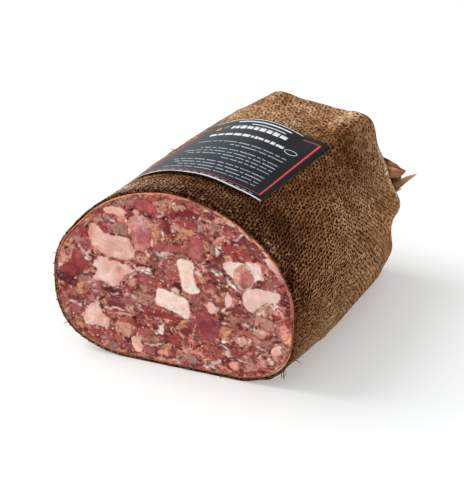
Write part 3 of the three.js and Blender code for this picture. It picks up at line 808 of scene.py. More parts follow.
# Outlines on the cut face, x and z in mm, for the pieces that are solids of their own
chunkShapes = {
    "fat_bar": {"ragged": 0.25, "kind": "cream", "depth": 22, "edge": "peach", "outline": [
        (5, 79), (7.5, 82), (12, 82), (17, 81), (19, 78), (18.5, 73), (19, 68), (20.5, 64), (23, 61),
        (21, 58.5), (16, 57), (11, 58), (8.5, 62), (7.5, 67), (6.3, 73)]},
    "fat_block": {"ragged": 0.25, "kind": "cream", "depth": 20, "edge": "peach", "outline": [
        (-11.5, 52), (-11, 56), (-9, 57.8), (-4, 57.6), (4, 55.6), (12.5, 53), (14, 51), (15.2, 44),
        (14.6, 39), (12, 37.6), (6, 40), (0, 42), (-6, 43.5), (-10.6, 44.6), (-11.8, 48)]},
    "fat_slab_peach": {"ragged": 0.4, "kind": "peach", "depth": 26, "edge": "tan", "outline": [
        (-63, 88), (-61, 82), (-57, 78), (-52, 75.5), (-46, 74.5), (-40, 73.5), (-33, 73.5),
        (-29.5, 75), (-26.5, 77), (-25.5, 81), (-27, 84), (-29, 87), (-31, 90.5), (-37, 91), (-44, 91),
        (-49, 92), (-53, 95), (-56.5, 98), (-60, 97.5), (-62.5, 93)]},
    "fat_mottled": {"kind": "pale", "depth": 22, "edge": "pink", "outline": [
        (-56, 73.5), (-50, 74), (-44, 72.5), (-38, 71.5), (-31, 70.5), (-26, 68.5), (-27.5, 65.5), (-32, 63),
        (-35, 60.5), (-38, 56.5), (-42, 53.5), (-46, 52.5), (-50, 54), (-55, 54.5), (-61, 54.5), (-59, 59),
        (-57.5, 63), (-60, 66), (-58, 69.5)]},
    "fat_oval_top": {"ragged": 0.6, "kind": "peach", "depth": 14, "edge": "pink", "outline": [
        (-50, 108.5), (-46, 111), (-40, 112), (-34, 111), (-30.5, 108.5), (-33, 106), (-39, 105),
        (-46, 105.5)]},
    "tongue_oval": {"ragged": 0.6, "kind": "rose", "depth": 24, "edge": "pink", "outline": [
        (-29.5, 106), (-25, 108.5), (-20, 108), (-15, 105), (-13, 100), (-12.5, 94), (-13.5, 88),
        (-17, 83), (-21, 82), (-25, 84), (-28, 89), (-30, 96), (-30.5, 101)]},
    "jelly_lens": {"kind": "grey", "depth": 10, "edge": "jelly", "outline": [
        (-45.5, 98), (-41, 100.5), (-35, 100.5), (-31.5, 99), (-31.3, 93), (-36.5, 92), (-42, 93),
        (-45.5, 95.5)]},
    "fat_horseshoe": {"ragged": 0.25, "kind": "cream", "depth": 18, "edge": "pale", "outline": [
        (40, 84), (45, 86.5), (52, 86), (58, 87.5), (64, 88), (67, 85), (68.5, 80), (69, 76.5),
        (65, 75), (60, 71.5), (55, 70.5), (50, 71), (46, 74), (41.5, 78), (40, 81)]},
    "tongue_core": {"kind": "pink", "depth": 16, "edge": "pale", "lift": 0.2, "outline": [
        (47.5, 74.5), (48, 79), (50.5, 83), (55, 85.5), (58.5, 84), (61, 79), (61.5, 74.5), (59.5, 70),
        (55, 67.5), (50.5, 69)]},
    "fat_boot": {"ragged": 0.25, "kind": "pale", "depth": 18, "edge": "pale", "outline": [
        (53, 61.5), (54, 65.5), (58, 68.5), (64, 70), (70, 69.5), (76, 70), (80.5, 69), (81, 65),
        (79, 61.5), (74, 60.5), (70, 60), (67, 57.5), (64, 54), (61, 51.5), (57, 53), (54, 57)]},
    "fat_pearl": {"ragged": 0.7, "kind": "pale", "depth": 9, "edge": "pink", "outline": [
        (27.5, 52), (29, 54.5), (33, 54), (34.5, 50), (33, 46.5), (30, 45.5), (27.5, 48)]},
    "fat_sliver": {"ragged": 1.3, "kind": "pale", "depth": 12, "edge": "pink", "outline": [
        (41.5, 64.8), (44, 64), (46, 60), (47, 57), (44.5, 54), (42, 52.5), (40.5, 56), (40.5, 61)]},
    "fat_lower_left": {"kind": "pale", "depth": 20, "edge": "pink", "outline": [
        (-62, 37.5), (-58.5, 40), (-56, 38), (-55, 34), (-52, 31), (-48, 27), (-47.5, 22), (-50, 18.5),
        (-55, 19.5), (-60, 20), (-66, 18.5), (-69, 21), (-69, 26), (-67, 31), (-64.5, 35)]},
    "fat_right_edge": {"kind": "pale", "depth": 12, "edge": "pink", "outline": [
        (69, 91.5), (71, 93.5), (74, 92), (77, 88), (79.5, 84), (78.5, 82), (75, 83), (71.5, 86),
        (69.5, 88.5)]},
    "fat_right_low": {"kind": "pale", "depth": 12, "edge": "pink", "outline": [
        (74, 27.5), (77, 30), (80.5, 32.5), (83, 30.5), (82, 27), (80, 23.8), (76, 23.5), (74, 25)]},
    "fat_speck_low": {"kind": "cream", "depth": 8, "edge": "pale", "outline": [
        (-9, 30), (-6.5, 31), (-5, 27), (-5.5, 23), (-8, 22.5), (-10, 25)]},
    "fat_lower_peach": {"kind": "peach", "depth": 12, "edge": "tan", "outline": [
        (-31, 17), (-27, 18.5), (-23.5, 15), (-22.3, 9), (-24, 6), (-28, 6.5), (-31, 11)]},
    "lean_plum": {"kind": "plum", "depth": 26, "edge": "rose", "outline": [
        (19, 42), (22, 45), (27, 45.5), (32, 43), (35, 40), (36.5, 36), (36, 31), (33, 26), (29, 21.5),
        (25, 24), (22, 29), (20, 34), (18.5, 38)]},
    "lean_left": {"kind": "crimson", "depth": 24, "edge": "red", "outline": [
        (-75, 76), (-70, 75), (-66, 71), (-64, 66), (-66, 61), (-70, 57), (-76, 54.5), (-82, 55),
        (-86, 58), (-86.5, 61), (-84, 64), (-79, 66), (-77, 71)]},
    "lean_top": {"kind": "rose", "depth": 20, "edge": "red", "outline": [
        (-25, 119), (-20, 121), (-15, 120.5), (-12, 118), (-8, 115), (-9, 111), (-14, 109.8),
        (-20, 110.8), (-24, 112), (-26.5, 115)]},
    "lean_streak_top": {"ragged": 0.3, "kind": "deep", "depth": 12, "edge": "crimson", "outline": [
        (0, 110.5), (1.5, 113.5), (7, 115), (13, 116.3), (19.5, 116.3), (23, 114.5), (21, 112.5),
        (15, 112.3), (9, 110.5), (4, 109)]},
    "lean_middle": {"kind": "rose", "depth": 22, "edge": "mauve", "outline": [
        (-12.5, 87.5), (-8, 90.5), (0, 91), (7, 90.5), (12, 92.5), (16, 97), (21, 99), (26, 96.5), (26, 90),
        (25, 85.5), (21, 83), (15, 84.5), (9, 86), (2, 85.5), (-6, 85), (-11, 85)]},
    "lean_band_low": {"kind": "crimson", "depth": 14, "edge": "red", "outline": [
        (-22, 36.5), (-18, 39), (-12, 39), (-4, 40.3), (3, 40), (8, 38), (6, 35.5), (-1, 34.5),
        (-8, 35), (-15, 34.5)]},
}

# Smaller bits of the cut face: x, z, width, height, tilt in degrees, kind
smallBits = [
    (-41, 116.5, 18, 4, 24, "deep"), (-53, 110, 9, 6, 30, "crimson"), (-58, 107, 9, 5, 40, "red"),
    (-33, 120, 11, 3, 15, "gold"), (-62, 100, 9, 7, 50, "gold"), (-68, 97, 9, 5, 45, "tan"),
    (-80, 80, 11, 6, 30, "gold"), (-84, 74, 6, 6, 0, "tan"), (-29, 117, 11, 7, 10, "jelly"),
    (-36, 115, 8, 4, 10, "tan"), (-72, 83.5, 17, 5, -12, "grey"), (-74, 88, 13, 5, 30, "rose"),
    (-66, 90, 8, 6, 20, "red"), (-36, 103.5, 12, 6, 0, "pink"), (-47, 103, 8, 4, 10, "grey"),
    (-43, 101, 7, 2.4, -40, "pale"), (-49, 97, 8, 6, 0, "rose"), (-55, 101, 9, 6, 30, "tan"),
    (-66, 79, 7, 8, -20, "mauve"), (-65, 73.5, 13, 3, -42, "pale"), (-84, 69, 8, 8, 0, "pink"),
    (-84, 64, 7, 4, 0, "tan"), (-79, 54, 16, 7, -6, "deep"), (-9, 97, 7, 11, -10, "gold"),
    (-10, 103, 8, 5, 10, "tan"), (-3.6, 99, 2.2, 12, -14, "cream"), (-12, 77, 9, 8, 0, "brown"),
    (-20, 77, 10, 7, 0, "tan"), (-6, 119, 14, 4, -3, "tan"), (4, 118.5, 5, 3.4, 0, "peach"),
    (9, 120.5, 8, 4, 5, "brown"), (18, 120, 12, 6, -10, "rose"), (14, 107.5, 14, 8, 0, "red"),
    (-1, 103, 8, 12, 5, "crimson"), (-4, 111, 5, 4, 0, "pale"), (9, 103, 12, 7, -20, "tan"),
    (9, 98, 8, 4, 20, "gold"), (16, 102, 7, 4, 10, "gold"), (22.5, 108, 6, 7, 0, "grey"),
    (28, 94, 5, 8, 0, "gold"), (33, 107.5, 8, 8, 0, "grey"), (37, 99, 10, 6, 20, "pink"),
    (42, 103.5, 8, 8, 20, "rose"), (38, 113, 8, 5, 0, "pink"), (45, 112.5, 7, 4, 20, "pale"),
    (40, 118, 16, 4, -22, "peach"), (29, 118, 6, 3, 0, "peach"), (46.5, 100, 6, 11, -20, "crimson"),
    (55, 100, 13, 8, -10, "plum"), (52, 104.5, 13, 2.6, 25, "pale"), (60, 104, 10, 4.5, -38, "peach"),
    (54, 109, 11, 3.6, -36, "peach"), (64.5, 102, 6, 4, -40, "gold"), (62, 95, 14, 8, -25, "brown"),
    (50, 92, 15, 7, 5, "red"), (42, 93, 9, 8, 20, "red"), (69, 96, 6, 4, -45, "cream"),
    (35.5, 91, 5, 8, -10, "pale"), (32, 92, 4, 9, 0, "grey"), (33, 74.5, 13, 5, -22, "grey"),
    (34, 73.6, 8, 2.4, -22, "cream"), (33, 79, 14, 4, -8, "plum"), (2, 68, 10, 13, 0, "rose"),
    (5, 61.5, 8, 5, 0, "deep"), (5, 58, 7, 4, -10, "pale"), (24, 68.5, 9, 6, -10, "gold"),
    (22.5, 73, 5, 3, -20, "pale"), (-17, 62, 15, 10, 10, "rose"), (-18, 67.5, 9, 4, -20, "cream"),
    (75, 76, 13, 7, 20, "mauve"), (74, 87.5, 4, 5, 0, "pale"), (78, 79.5, 7, 5, -30, "rose"),
    (85, 65, 5.5, 15, 8, "deep"), (86, 55, 5, 12, 0, "crimson"), (85, 48, 6, 6, 0, "red"),
    (65, 72.4, 13, 2.6, 24, "deep"), (75, 72, 12, 3, 6, "rose"), (69, 57, 9, 3.6, 30, "gold"),
    (67, 53, 9, 6, 20, "peach"), (73, 56, 6, 6, 0, "tan"), (51, 50, 13, 9, -15, "plum"),
    (52, 45, 10, 6, -10, "mauve"), (60, 46, 8, 4, 10, "jelly"), (19.5, 52, 12, 9, 10, "mauve"),
    (37, 54, 7, 6, 0, "red"), (41, 49, 6, 7, 20, "peach"), (39.5, 44, 8, 6, -35, "deep"),
    (45.5, 42, 4, 8, 0, "jelly"), (-82, 50.5, 20, 4, -14, "deep"), (-84, 45.5, 11, 6, 0, "crimson"),
    (-75, 49, 8, 6, 0, "crimson"), (-69, 54, 11, 5, -20, "jelly"), (-70, 47, 4.4, 10, -8, "gold"),
    (-79, 44, 9, 5, 0, "mince"), (-58, 48, 17, 9, 0, "mauve"), (-46, 50, 14, 4, 6, "deep"),
    (-42, 45, 16, 5, 0, "crimson"), (-35, 48.5, 2, 9, -40, "pale"), (-34, 43, 11, 9, 20, "mauve"),
    (-28, 47.5, 6, 3.6, 0, "pale"), (-19, 49, 16, 10, 0, "jelly"), (-22, 46, 8, 4, 0, "tan"),
    (-43, 38.5, 16, 5, 0, "plum"), (-44, 35.2, 24, 1.6, -1, "pale"), (-37, 32.6, 20, 1.6, 2, "pink"),
    (-79, 36, 10, 3, 0, "pale"), (-84, 32, 5, 9, 0, "mauve"), (-77, 31, 13, 5, 0, "mince"),
    (-77, 25, 12, 8, 0, "brown"), (-73, 17.5, 8, 5, -40, "gold"), (-52.5, 39.5, 5, 5, 0, "gold"),
    (-59.5, 15.5, 19, 4.6, -8, "red"), (-46.5, 19, 6, 7, 0, "red"), (-44.5, 27, 6, 6, -30, "crimson"),
    (-37, 21, 14, 12, 0, "tan"), (-36, 28, 11, 5, 0, "mince"), (-35, 14, 5, 4.4, 0, "deep"),
    (-40, 13, 9, 7, 0, "mince"), (-27.5, 25, 6, 4, 0, "crimson"), (-20.5, 23, 12, 7, 10, "rose"),
    (-14, 18.6, 17, 4, 4, "jelly"), (-13, 15.8, 15, 1.6, 6, "peach"), (-16, 9, 10, 10, 0, "mauve"),
    (-6, 11, 6, 6, 0, "pink"), (-3, 15, 5, 6, 0, "gold"), (-45, 8, 8, 5, -20, "grey"),
    (-50, 9, 6, 5, 0, "tan"), (-39, 4.5, 11, 2.6, 0, "gold"), (-32.5, 5.5, 6, 4, 0, "brown"),
    (-60, 9, 12, 4, -8, "brown"), (2, 4.6, 14, 4, 0, "pink"), (3, 5.4, 7, 3, 0, "pale"),
    (14, 9, 14, 8, 0, "grey"), (21, 15, 15, 4, -20, "pink"), (30, 13, 13, 5, -14, "rose"),
    (22.5, 20, 5, 4, 0, "deep"), (3, 21, 11, 9, 0, "red"), (12, 27.5, 9, 8, 0, "crimson"),
    (16.5, 25.5, 6, 4, 0, "grey"), (0, 30.5, 10, 4, 0, "brown"), (41.5, 33, 9, 10, 0, "gold"),
    (53, 28.5, 12, 7, -8, "pink"), (52.5, 30, 7, 4, 0, "pale"), (59, 31, 4, 8, 0, "peach"),
    (67, 27, 10, 2, -42, "pale"), (72, 31, 7, 9, 0, "jelly"), (58, 41, 13, 2.8, -10, "pale"),
    (67, 39.5, 10, 8, -30, "pink"), (66, 41, 7, 4, -20, "pale"), (72, 45, 8, 11, 0, "tan"),
    (78.5, 42, 3, 12, 4, "jelly"), (83, 42, 5, 12, 4, "pink"), (42.5, 23, 9, 2, -26, "pale"),
    (44.5, 18.5, 5, 5, 0, "pale"), (58.5, 22, 7, 5, 0, "pink"), (60, 12, 7, 12, 0, "tan"),
    (49, 10, 8, 7, 0, "pink"), (54, 8.5, 4, 8, 0, "plum"), (75, 18, 8, 4, 20, "peach"),
    (68, 15, 7, 8, 0, "pink"), (32, 5, 7, 3, 0, "pale"), (36, 15, 12, 6, 0, "mince"),
    (33, 19, 11, 4, 0, "rose"), (46.5, 69.5, 13, 2.2, -42, "cream"), (31, 63, 8, 7, 0, "rose"),
    (34, 59, 10, 4, -30, "tan"), (25, 57, 8, 4, 20, "rose"), (14, 33, 8, 7, 0, "brown"),
    (10, 35, 8, 4, 20, "gold"), (68, 48, 8, 4, 10, "tan"), (47, 37, 8, 5, 0, "rose"),
    (56, 35, 12, 6, 0, "mince"), (65, 33, 8, 6, -20, "tan"), (-6, 71, 5, 7, 0, "rose"),
    (-10, 64, 7, 6, 0, "red"), (-28, 59, 7, 7, 0, "tan"), (-30, 54, 10, 4, -20, "red"),
]
# small dark holes and peppercorns that show by themselves, the darkness of the holes painted shade: x, z, width,
# height
darkSpots = [
    (-50, 102, 2, 2), (-60.5, 71.6, 4.4, 1.5), (-68, 94.6, 2.4, 1.6), (-62.5, 93.5, 1.8, 4),
    (-28.5, 111, 5, 2.6), (-2.5, 108.3, 4.4, 1.7), (27, 81.6, 4.6, 1.6), (8.5, 58.5, 2.4, 2.4),
    (50.3, 62, 2.8, 1.6), (-35, 58, 2.2, 2.6), (-53.7, 34.8, 3.2, 2), (-70, 36.8, 2, 1.4),
    (-66, 34.5, 1.6, 2.6), (3, 91.6, 1.8, 1.8), (12, 118.5, 2.6, 1.4), (-7.5, 116.5, 2, 1.6),
    (-13.5, 107, 2.4, 2), (9, 21, 1.6, 1.6), (9.5, 13, 1.4, 2.2), (61, 51, 2.2, 1.8),
    (-29, 31, 1.8, 2.8), (46.5, 33.7, 1.4, 1.8), (-82, 75.5, 2, 2.6), (19.6, 25, 1.4, 1.4),
    (-13, 70, 1.4, 1.8), (29, 89.5, 2, 1.2), (32.5, 100.4, 2, 1), (3.4, 97, 2, 1), (-53, 41.5, 4, 2),
    (57, 37.8, 2, 1.4),
]
cutFace = {
    "cells": 290, "inset": 3.0,
    "warps": ((8.0, 1.7, 40), (2.6, 0.95, 50)),     # size, reach and seed of the bends in the outlines
    "bitSize": 5.6, "crumbSize": 2.1, "fleckSize": 1.5, "fleckShare": 0.6,
    "squareness": 2.6, "relief": 0.34, "pocket": 1.6,
    "spread": 7, "gamma": 0.45,                     # how often the hues are blurred, and in which light
    "behind": ((1.5, 3.0), (60, 3.1), (150, 3.1), (225, 3.6), (230.5, 7)),      # y, inset of the hidden body
}
kindTones = {name: rgb(*value) for name, value in kinds.items()}


def onFace(flat, y=0.0):
    return np.column_stack([flat[:, 0], np.full(len(flat), y), flat[:, 1]])


def warped(flat, seed=0):
    # bends straight outlines so that they look torn or cooked
    bends = [[layeredNoise(onFace(flat), size, 2, first + k + seed) * reach for k in (0, 1)]
             for size, reach, first in cutFace["warps"]]
    return flat + np.sum(bends, axis=0).T


def turnedBy(flat, turn):
    x, z = flat[:, 0], flat[:, 1]
    return x * np.cos(turn) + z * np.sin(turn), z * np.cos(turn) - x * np.sin(turn)


def mosaic(flat, size, seed):
    # uneven cells: gives each point its cell's random numbers and its nearness to the cell's edge
    cell = np.floor(flat / size).astype(np.int64)
    best, second = np.full(len(flat), 1e9), np.full(len(flat), 1e9)
    owner = np.zeros((len(flat), 2), np.int64)
    for step in itertools.product((-2, -1, 0, 1, 2), repeat=2):
        other = cell + np.array(step)
        draws = [hashed(other, seed + k) for k in range(5)]
        centre = other + 0.5 + (np.column_stack(draws[:2]) - 0.5) * 0.95
        along, across = turnedBy(flat / size - centre, (draws[2] - 0.5) * 1.9)
        stretch = 1 + 0.95 * draws[3]
        distance = np.hypot(along / stretch, across * stretch) * (0.7 + 0.6 * draws[4])
        closer = distance < best
        second = np.where(closer, best, np.minimum(second, distance))
        owner[closer] = other[closer]
        best = np.where(closer, distance, best)
    return owner, second - best


def pickKinds(numbers, weights):
    # random numbers to colours, by each kind's weight
    limits = np.cumsum(list(weights.values()))
    index = np.minimum(np.searchsorted(limits / limits[-1], numbers), len(limits) - 1)
    return np.array([kindTones[name] for name in weights])[index], index


def closedCurve(outline, count):
    # a smooth closed line through the points, evenly spaced
    ring = np.array(outline, float)
    steps = np.linspace(0, 1, 12, endpoint=False)[:, None]
    line = np.concatenate([curvePoint(*np.roll(ring, 1 - i, 0)[:4], steps) for i in range(len(ring))])
    closed = np.vstack([line, line[:1]])
    length = pathLengths(closed)
    places = np.linspace(0, length[-1], count, endpoint=False)
    return np.column_stack([np.interp(places, length, closed[:, k]) for k in (0, 1)])


def roughened(ring, seed, amount):
    # small nicks along an outline
    tangent = np.roll(ring, -1, 0) - np.roll(ring, 1, 0)
    normal = unit(np.column_stack([tangent[:, 1], -tangent[:, 0]]))
    deep = onFace(ring, seed * 7.0)
    push = 0.7 * latticeNoise(deep, 4.0, seed) + 0.42 * latticeNoise(deep, 1.7, seed + 1)
    return ring + normal * push[:, None] * amount


def insideDistance(flat, ring):
    # about how far each point lies inside the outline, in mm; negative outside
    ahead = np.roll(ring, -1, 0)
    x, z = flat[:, :1], flat[:, 1:]
    rise = ahead[:, 1] - ring[:, 1]
    crosses = (ring[:, 1] > z) != (ahead[:, 1] > z)
    where = (ahead[:, 0] - ring[:, 0]) * (z - ring[:, 1]) / np.where(rise == 0, 1e-9, rise) + ring[:, 0]
    inside = np.sum(crosses & (x < where), axis=1) % 2 == 1
    nearest = np.min(np.hypot(x - ring[:, 0], z - ring[:, 1]), axis=1)
    return np.where(inside, nearest, -nearest)


def bitShares(flat, x, z, width, height, tilt=0):
    # 0 in the middle of a bit, 1 at its outline
    along, across = turnedBy(flat - (x, z), math.radians(tilt))
    power = cutFace["squareness"]
    return (np.abs(along / (width / 2)) ** power + np.abs(across / (height / 2)) ** power) ** (1 / power)


def fibres(flat, owner, seed):
    # streaks that run one way within each bit
    along, across = turnedBy(flat, hashed(owner, seed) * math.pi)
    return latticeNoise(np.column_stack([along / 4.2, across / 0.95, owner[:, 0] * 0.37]), 1.0, seed)


def blurred(values, side):
    grid = values.reshape(side, side, -1)
    for axis in (0, 1):
        grid = (np.roll(grid, 1, axis) + 2 * grid + np.roll(grid, -1, axis)) / 4
    return grid.reshape(len(values), -1)


def minced(bent):
    # larger bits, with crumbs between them: colours, light, height
    owner, edge = mosaic(bent, cutFace["bitSize"], 11)
    colours, kindIndex = pickKinds(hashed(owner, 20), fillWeights)
    crumbOwner, crumbEdge = mosaic(bent + 31.7, cutFace["crumbSize"], 60)
    crumbs, _ = pickKinds(hashed(crumbOwner, 70), crumbWeights)
    crumbly = kindIndex == 0

    def either(first, second):
        return np.where(crumbly, first, second)
    light = either(0.66 + 0.64 * hashed(crumbOwner, 71), 0.76 + 0.44 * hashed(owner, 21))
    height = either(0.55 * (hashed(crumbOwner, 72) - 0.5), 0.9 * (hashed(owner, 22) - 0.5))
    edgeShare = either(smooth(crumbEdge / 0.22), smooth(edge / 0.2))
    paleEdge = either(hashed(crumbOwner, 75), hashed(owner, 25)) < 0.26
    # most bits darken towards their edges, partly the seams' own colour and partly painted shade; some have pale
    # edges instead
    light = light * np.where(paleEdge, 1.3 - 0.3 * edgeShare, 0.54 + 0.46 * edgeShare)
    return (np.where(crumbly[:, None], crumbs, colours), light * (1 + 0.46 * fibres(bent, owner, 33)),
            height - 0.5 * (1 - edgeShare))


def faceSurface(flat, chunkRings):
    # colour and height of the minced part at each point of the cut face
    bent, deep = warped(flat), onFace(flat)
    side = int(round(len(flat) ** 0.5))
    colours, light, height = minced(bent)
    placed = np.zeros(len(flat))
    for number, (x, z, width, tall, tilt, kind) in enumerate(smallBits):
        index = np.flatnonzero((np.abs(flat[:, 0] - x) < width) & (np.abs(flat[:, 1] - z) < width + tall))
        share = bitShares(bent[index], x, z, width, tall, tilt)
        chosen = index[share < 1]
        rim = smooth((share[share < 1] - 0.6) / 0.4)
        strength = 0.7 if kind == "gold" else 1.0
        colours[chosen] = blend(colours[chosen], kindTones[kind], strength * (1 - 0.7 * rim))
        grain = 0.13 * fibres(bent[chosen], np.full((len(chosen), 2), number), 34)
        own = 0.96 + 0.16 * (hashed(np.array([[number, 3]]), 5)[0] - 0.5)
        light[chosen] = own * (1 - 0.14 * rim) * (1 + grain)
        height[chosen] = 0.35 - 0.75 * rim
        placed[chosen] = 1 - rim
    # small flecks and threads lie over everything, fewer on the listed bits
    colours = 0.25 * colours + 0.75 * blurred(colours, side)
    fleckOwner, fleckEdge = mosaic(warped(flat * 1.7, 7) / 1.7, cutFace["fleckSize"], 120)
    fleckColours, _ = pickKinds(hashed(fleckOwner, 131), fleckWeights)
    drawn = hashed(fleckOwner, 130) < cutFace["fleckShare"] * (1 - 0.55 * placed)
    strength = drawn * (0.42 + 0.58 * hashed(fleckOwner, 132))
    colours = blend(colours, fleckColours, strength * smooth(fleckEdge / 0.3))
    light = light * (1 + 0.1 * layeredNoise(deep, 3.0, 2, 79))
    colours = (0.8 * colours + 0.2 * blurred(colours, side)) * light[:, None]
    # juice spreads the hues over a millimetre or so, while light and dark specks stay crisp
    hues, gamma = colours, cutFace["gamma"]
    for _ in range(cutFace["spread"]):
        hues = blurred(hues, side)
    lifted = ((colours ** gamma - hues ** gamma) @ (0.3, 0.6, 0.1))[:, None]
    lifted = lifted * np.where(lifted > 0, (0.85, 1.15, 1.15), 1.35)
    colours = np.clip(hues ** gamma + lifted, 0.03, 1) ** (1 / gamma)
    height = height + drawn * 0.5 * (hashed(fleckOwner, 133) - 0.6)
    # the holes' darkness is painted shade, the peppercorns' their own colour
    for spot in darkSpots:
        hole = 1 - smooth((bitShares(bent, *spot) - 0.6) / 0.6)
        colours = blend(colours, rgb(58, 22, 16), hole)
        height = height - 2.2 * hole
    height = height + 0.35 * layeredNoise(deep, 1.5, 2, 77) + 0.5 * layeredNoise(deep, 16, 2, 78)
    sunk = np.zeros(len(flat))
    for ring in chunkRings:
        index = np.flatnonzero(np.all((flat > ring.min(axis=0) - 4) & (flat < ring.max(axis=0) + 4), axis=1))
        sunk[index] = np.maximum(sunk[index], smooth((insideDistance(flat[index], ring) - 0.9) / 1.4))
    return colours, height * cutFace["relief"] * (1 - sunk) - cutFace["pocket"] * sunk


def minceTones(places, toned):
    # the minced part's colours at places of the cut face, looked up in the loaf's own grid
    cells = cutFace["cells"]
    x, z = places[:, 0], places[:, 1] - body["widestHeight"]
    angle = np.arctan2(z, x)
    rim = bodyPoint(angle, 0, cutFace["inset"]) - bodyMiddle
    reach = np.hypot(x, z) / np.hypot(rim[:, 0], rim[:, 2])
    square = reach / np.maximum(np.abs(np.cos(angle)), np.abs(np.sin(angle)))
    row, column = (np.clip(((way(angle) * square + 1) / 2 * cells).round().astype(int), 0, cells)
                   for way in (np.sin, np.cos))
    return toned.reshape(cells + 1, cells + 1, 3)[row, column]


def makeLoaf(material, chunkRings):
    # the cut face is a square grid pulled out to the body's outline; rings carry on from its border
    side = np.linspace(-1, 1, cutFace["cells"] + 1)
    p, q = (axis.ravel() for axis in np.meshgrid(side, side))
    reach, angle = np.maximum(np.abs(p), np.abs(q)), np.arctan2(q, p)
    points = bodyMiddle + (bodyPoint(angle, 0, cutFace["inset"]) - bodyMiddle) * reach[:, None]
    toned, height = faceSurface(points[:, [0, 2]], chunkRings)
    # a golden tint where the meat meets the casing
    nearRim = smooth((reach - 0.975) / 0.025) * (0.12 + 0.5 * layeredNoise(points, 6, 2, 91))
    tinted = blend(toned, rgb(214, 150, 112), np.clip(nearRim, 0, 1))
    points[:, 1] = -height * (1 - smooth((reach - 0.985) / 0.015))
    loop = borderOf(len(side), len(side))
    count = len(loop)
    rings = [bodyPoint(angle[loop], y, inset) for y, inset in cutFace["behind"]]
    faces = list(map(tuple, gridFaces(len(side), len(side)).tolist()))
    start = len(points)
    for _ in rings:
        ahead = list(range(start, start + count))
        faces += [(loop[i], ahead[i], ahead[(i + 1) % count], loop[(i + 1) % count]) for i in range(count)]
        loop, start = ahead, start + count
    faces += [(loop[(i + 1) % count], loop[i], start) for i in range(count)]
    extra = np.tile(kindTones["rose"], (start + 1 - len(points), 1))
    points = np.concatenate([points, *rings, [bodyMiddle + (0, 231.5, 0)]])
    faces = turnedOut(points, faces)
    return makePiece("mincedMeat", points, faces, material, colours=np.vstack([tinted, extra])), toned


# Chunks: each outline filled with rings of a low dome, then narrowed towards its back

chunkLook = {
    "segments": 132, "rings": 26,
    "dome": 0.16, "sink": 0.22, "liftedSink": 0.02,
    "overlap": 0.5,
    "backs": ((1.0, 0.72), (0.9, 0.84), (0.6, 0.96), (0.25, 0.99)),     # share of the depth, scale
    "crisp": ("fat_bar", "fat_block", "fat_boot", "tongue_core"),
}
# paler or darker patches on single chunks: x, z, radius, kind, strength
chunkPatches = {
    "tongue_oval": [(-19, 104, 8, "pale", 0.95), (-27, 104, 5, "grey", 0.5), (-20, 91, 9, "mauve", 0.6),
                    (-27, 90, 4, "pink", 0.6)],
    "fat_slab_peach": [(-44, 82, 20, "pale", 0.75), (-46, 80, 9, "pink", 0.25), (-57, 94, 7, "pink", 0.3),
                       (-61, 85, 5, "gold", 0.35)],
    "fat_mottled": [(-52, 62, 8, "cream", 0.6), (-38.5, 66.5, 3.2, "rose", 0.75), (-47, 69, 6, "pink", 0.5),
                    (-38, 59, 6, "pink", 0.6), (-31, 67, 5, "pale", 0.6), (-57, 56, 4, "pale", 0.5)],
    "lean_left": [(-71, 71, 7, "rose", 0.85), (-71, 64, 5, "red", 0.5), (-80, 59, 9, "deep", 0.9)],
    "fat_horseshoe": [(44, 80, 7, "cream", 0.5), (66, 80, 7, "cream", 0.6)],
    "tongue_core": [(55, 74, 7, "rose", 0.6), (55, 80, 5, "rose", 0.35), (54, 69, 5, "mauve", 0.9)],
    "fat_lower_left": [(-58, 24, 9, "cream", 0.6), (-54, 29, 4, "pink", 0.7), (-66, 22, 5, "peach", 0.5),
                       (-60, 37, 3.5, "pink", 0.6)],
    "lean_plum": [(30, 38, 8, "plum", 0.5), (23, 42, 4, "rose", 0.5), (30, 25, 5, "mauve", 0.6)],
    "lean_middle": [(20, 95, 6, "rose", 0.5), (20, 86, 5, "pink", 0.35), (-6, 88, 6, "red", 0.35)],
    "fat_block": [(12, 43, 5, "pale", 0.6), (4, 50, 8, "cream", 0.4)],
    "fat_bar": [(13, 72, 9, "pale", 0.5), (19, 60, 4, "cream", 0.5)],
    "fat_boot": [(60, 60, 7, "pale", 0.35), (77, 66, 4, "cream", 0.5)],
    "lean_top": [(-17, 117, 6, "rose", 0.4), (-12, 112, 4, "red", 0.4)],
    "lean_streak_top": [(7, 112, 12, "blood", 0.9)],
    "fat_oval_top": [(-41, 108, 12, "tan", 0.35)],
    "fat_right_low": [(79, 27, 5, "pink", 0.5)],
    "lean_band_low": [(-2, 37, 7, "deep", 0.7)],
}


def chunkRing(name):
    ring = closedCurve(chunkShapes[name]["outline"], chunkLook["segments"])
    ring = roughened(ring, seedOf(name), 0.45 if name in chunkLook["crisp"] else 1.0)
    away = ring - ring.mean(axis=0)
    # the mince creeps over the edge a little
    return ring.mean(axis=0) + away * (1 + chunkLook["overlap"] / np.linalg.norm(away, axis=1, keepdims=True))


def seedOf(name):
    return sum(map(ord, name)) % 97


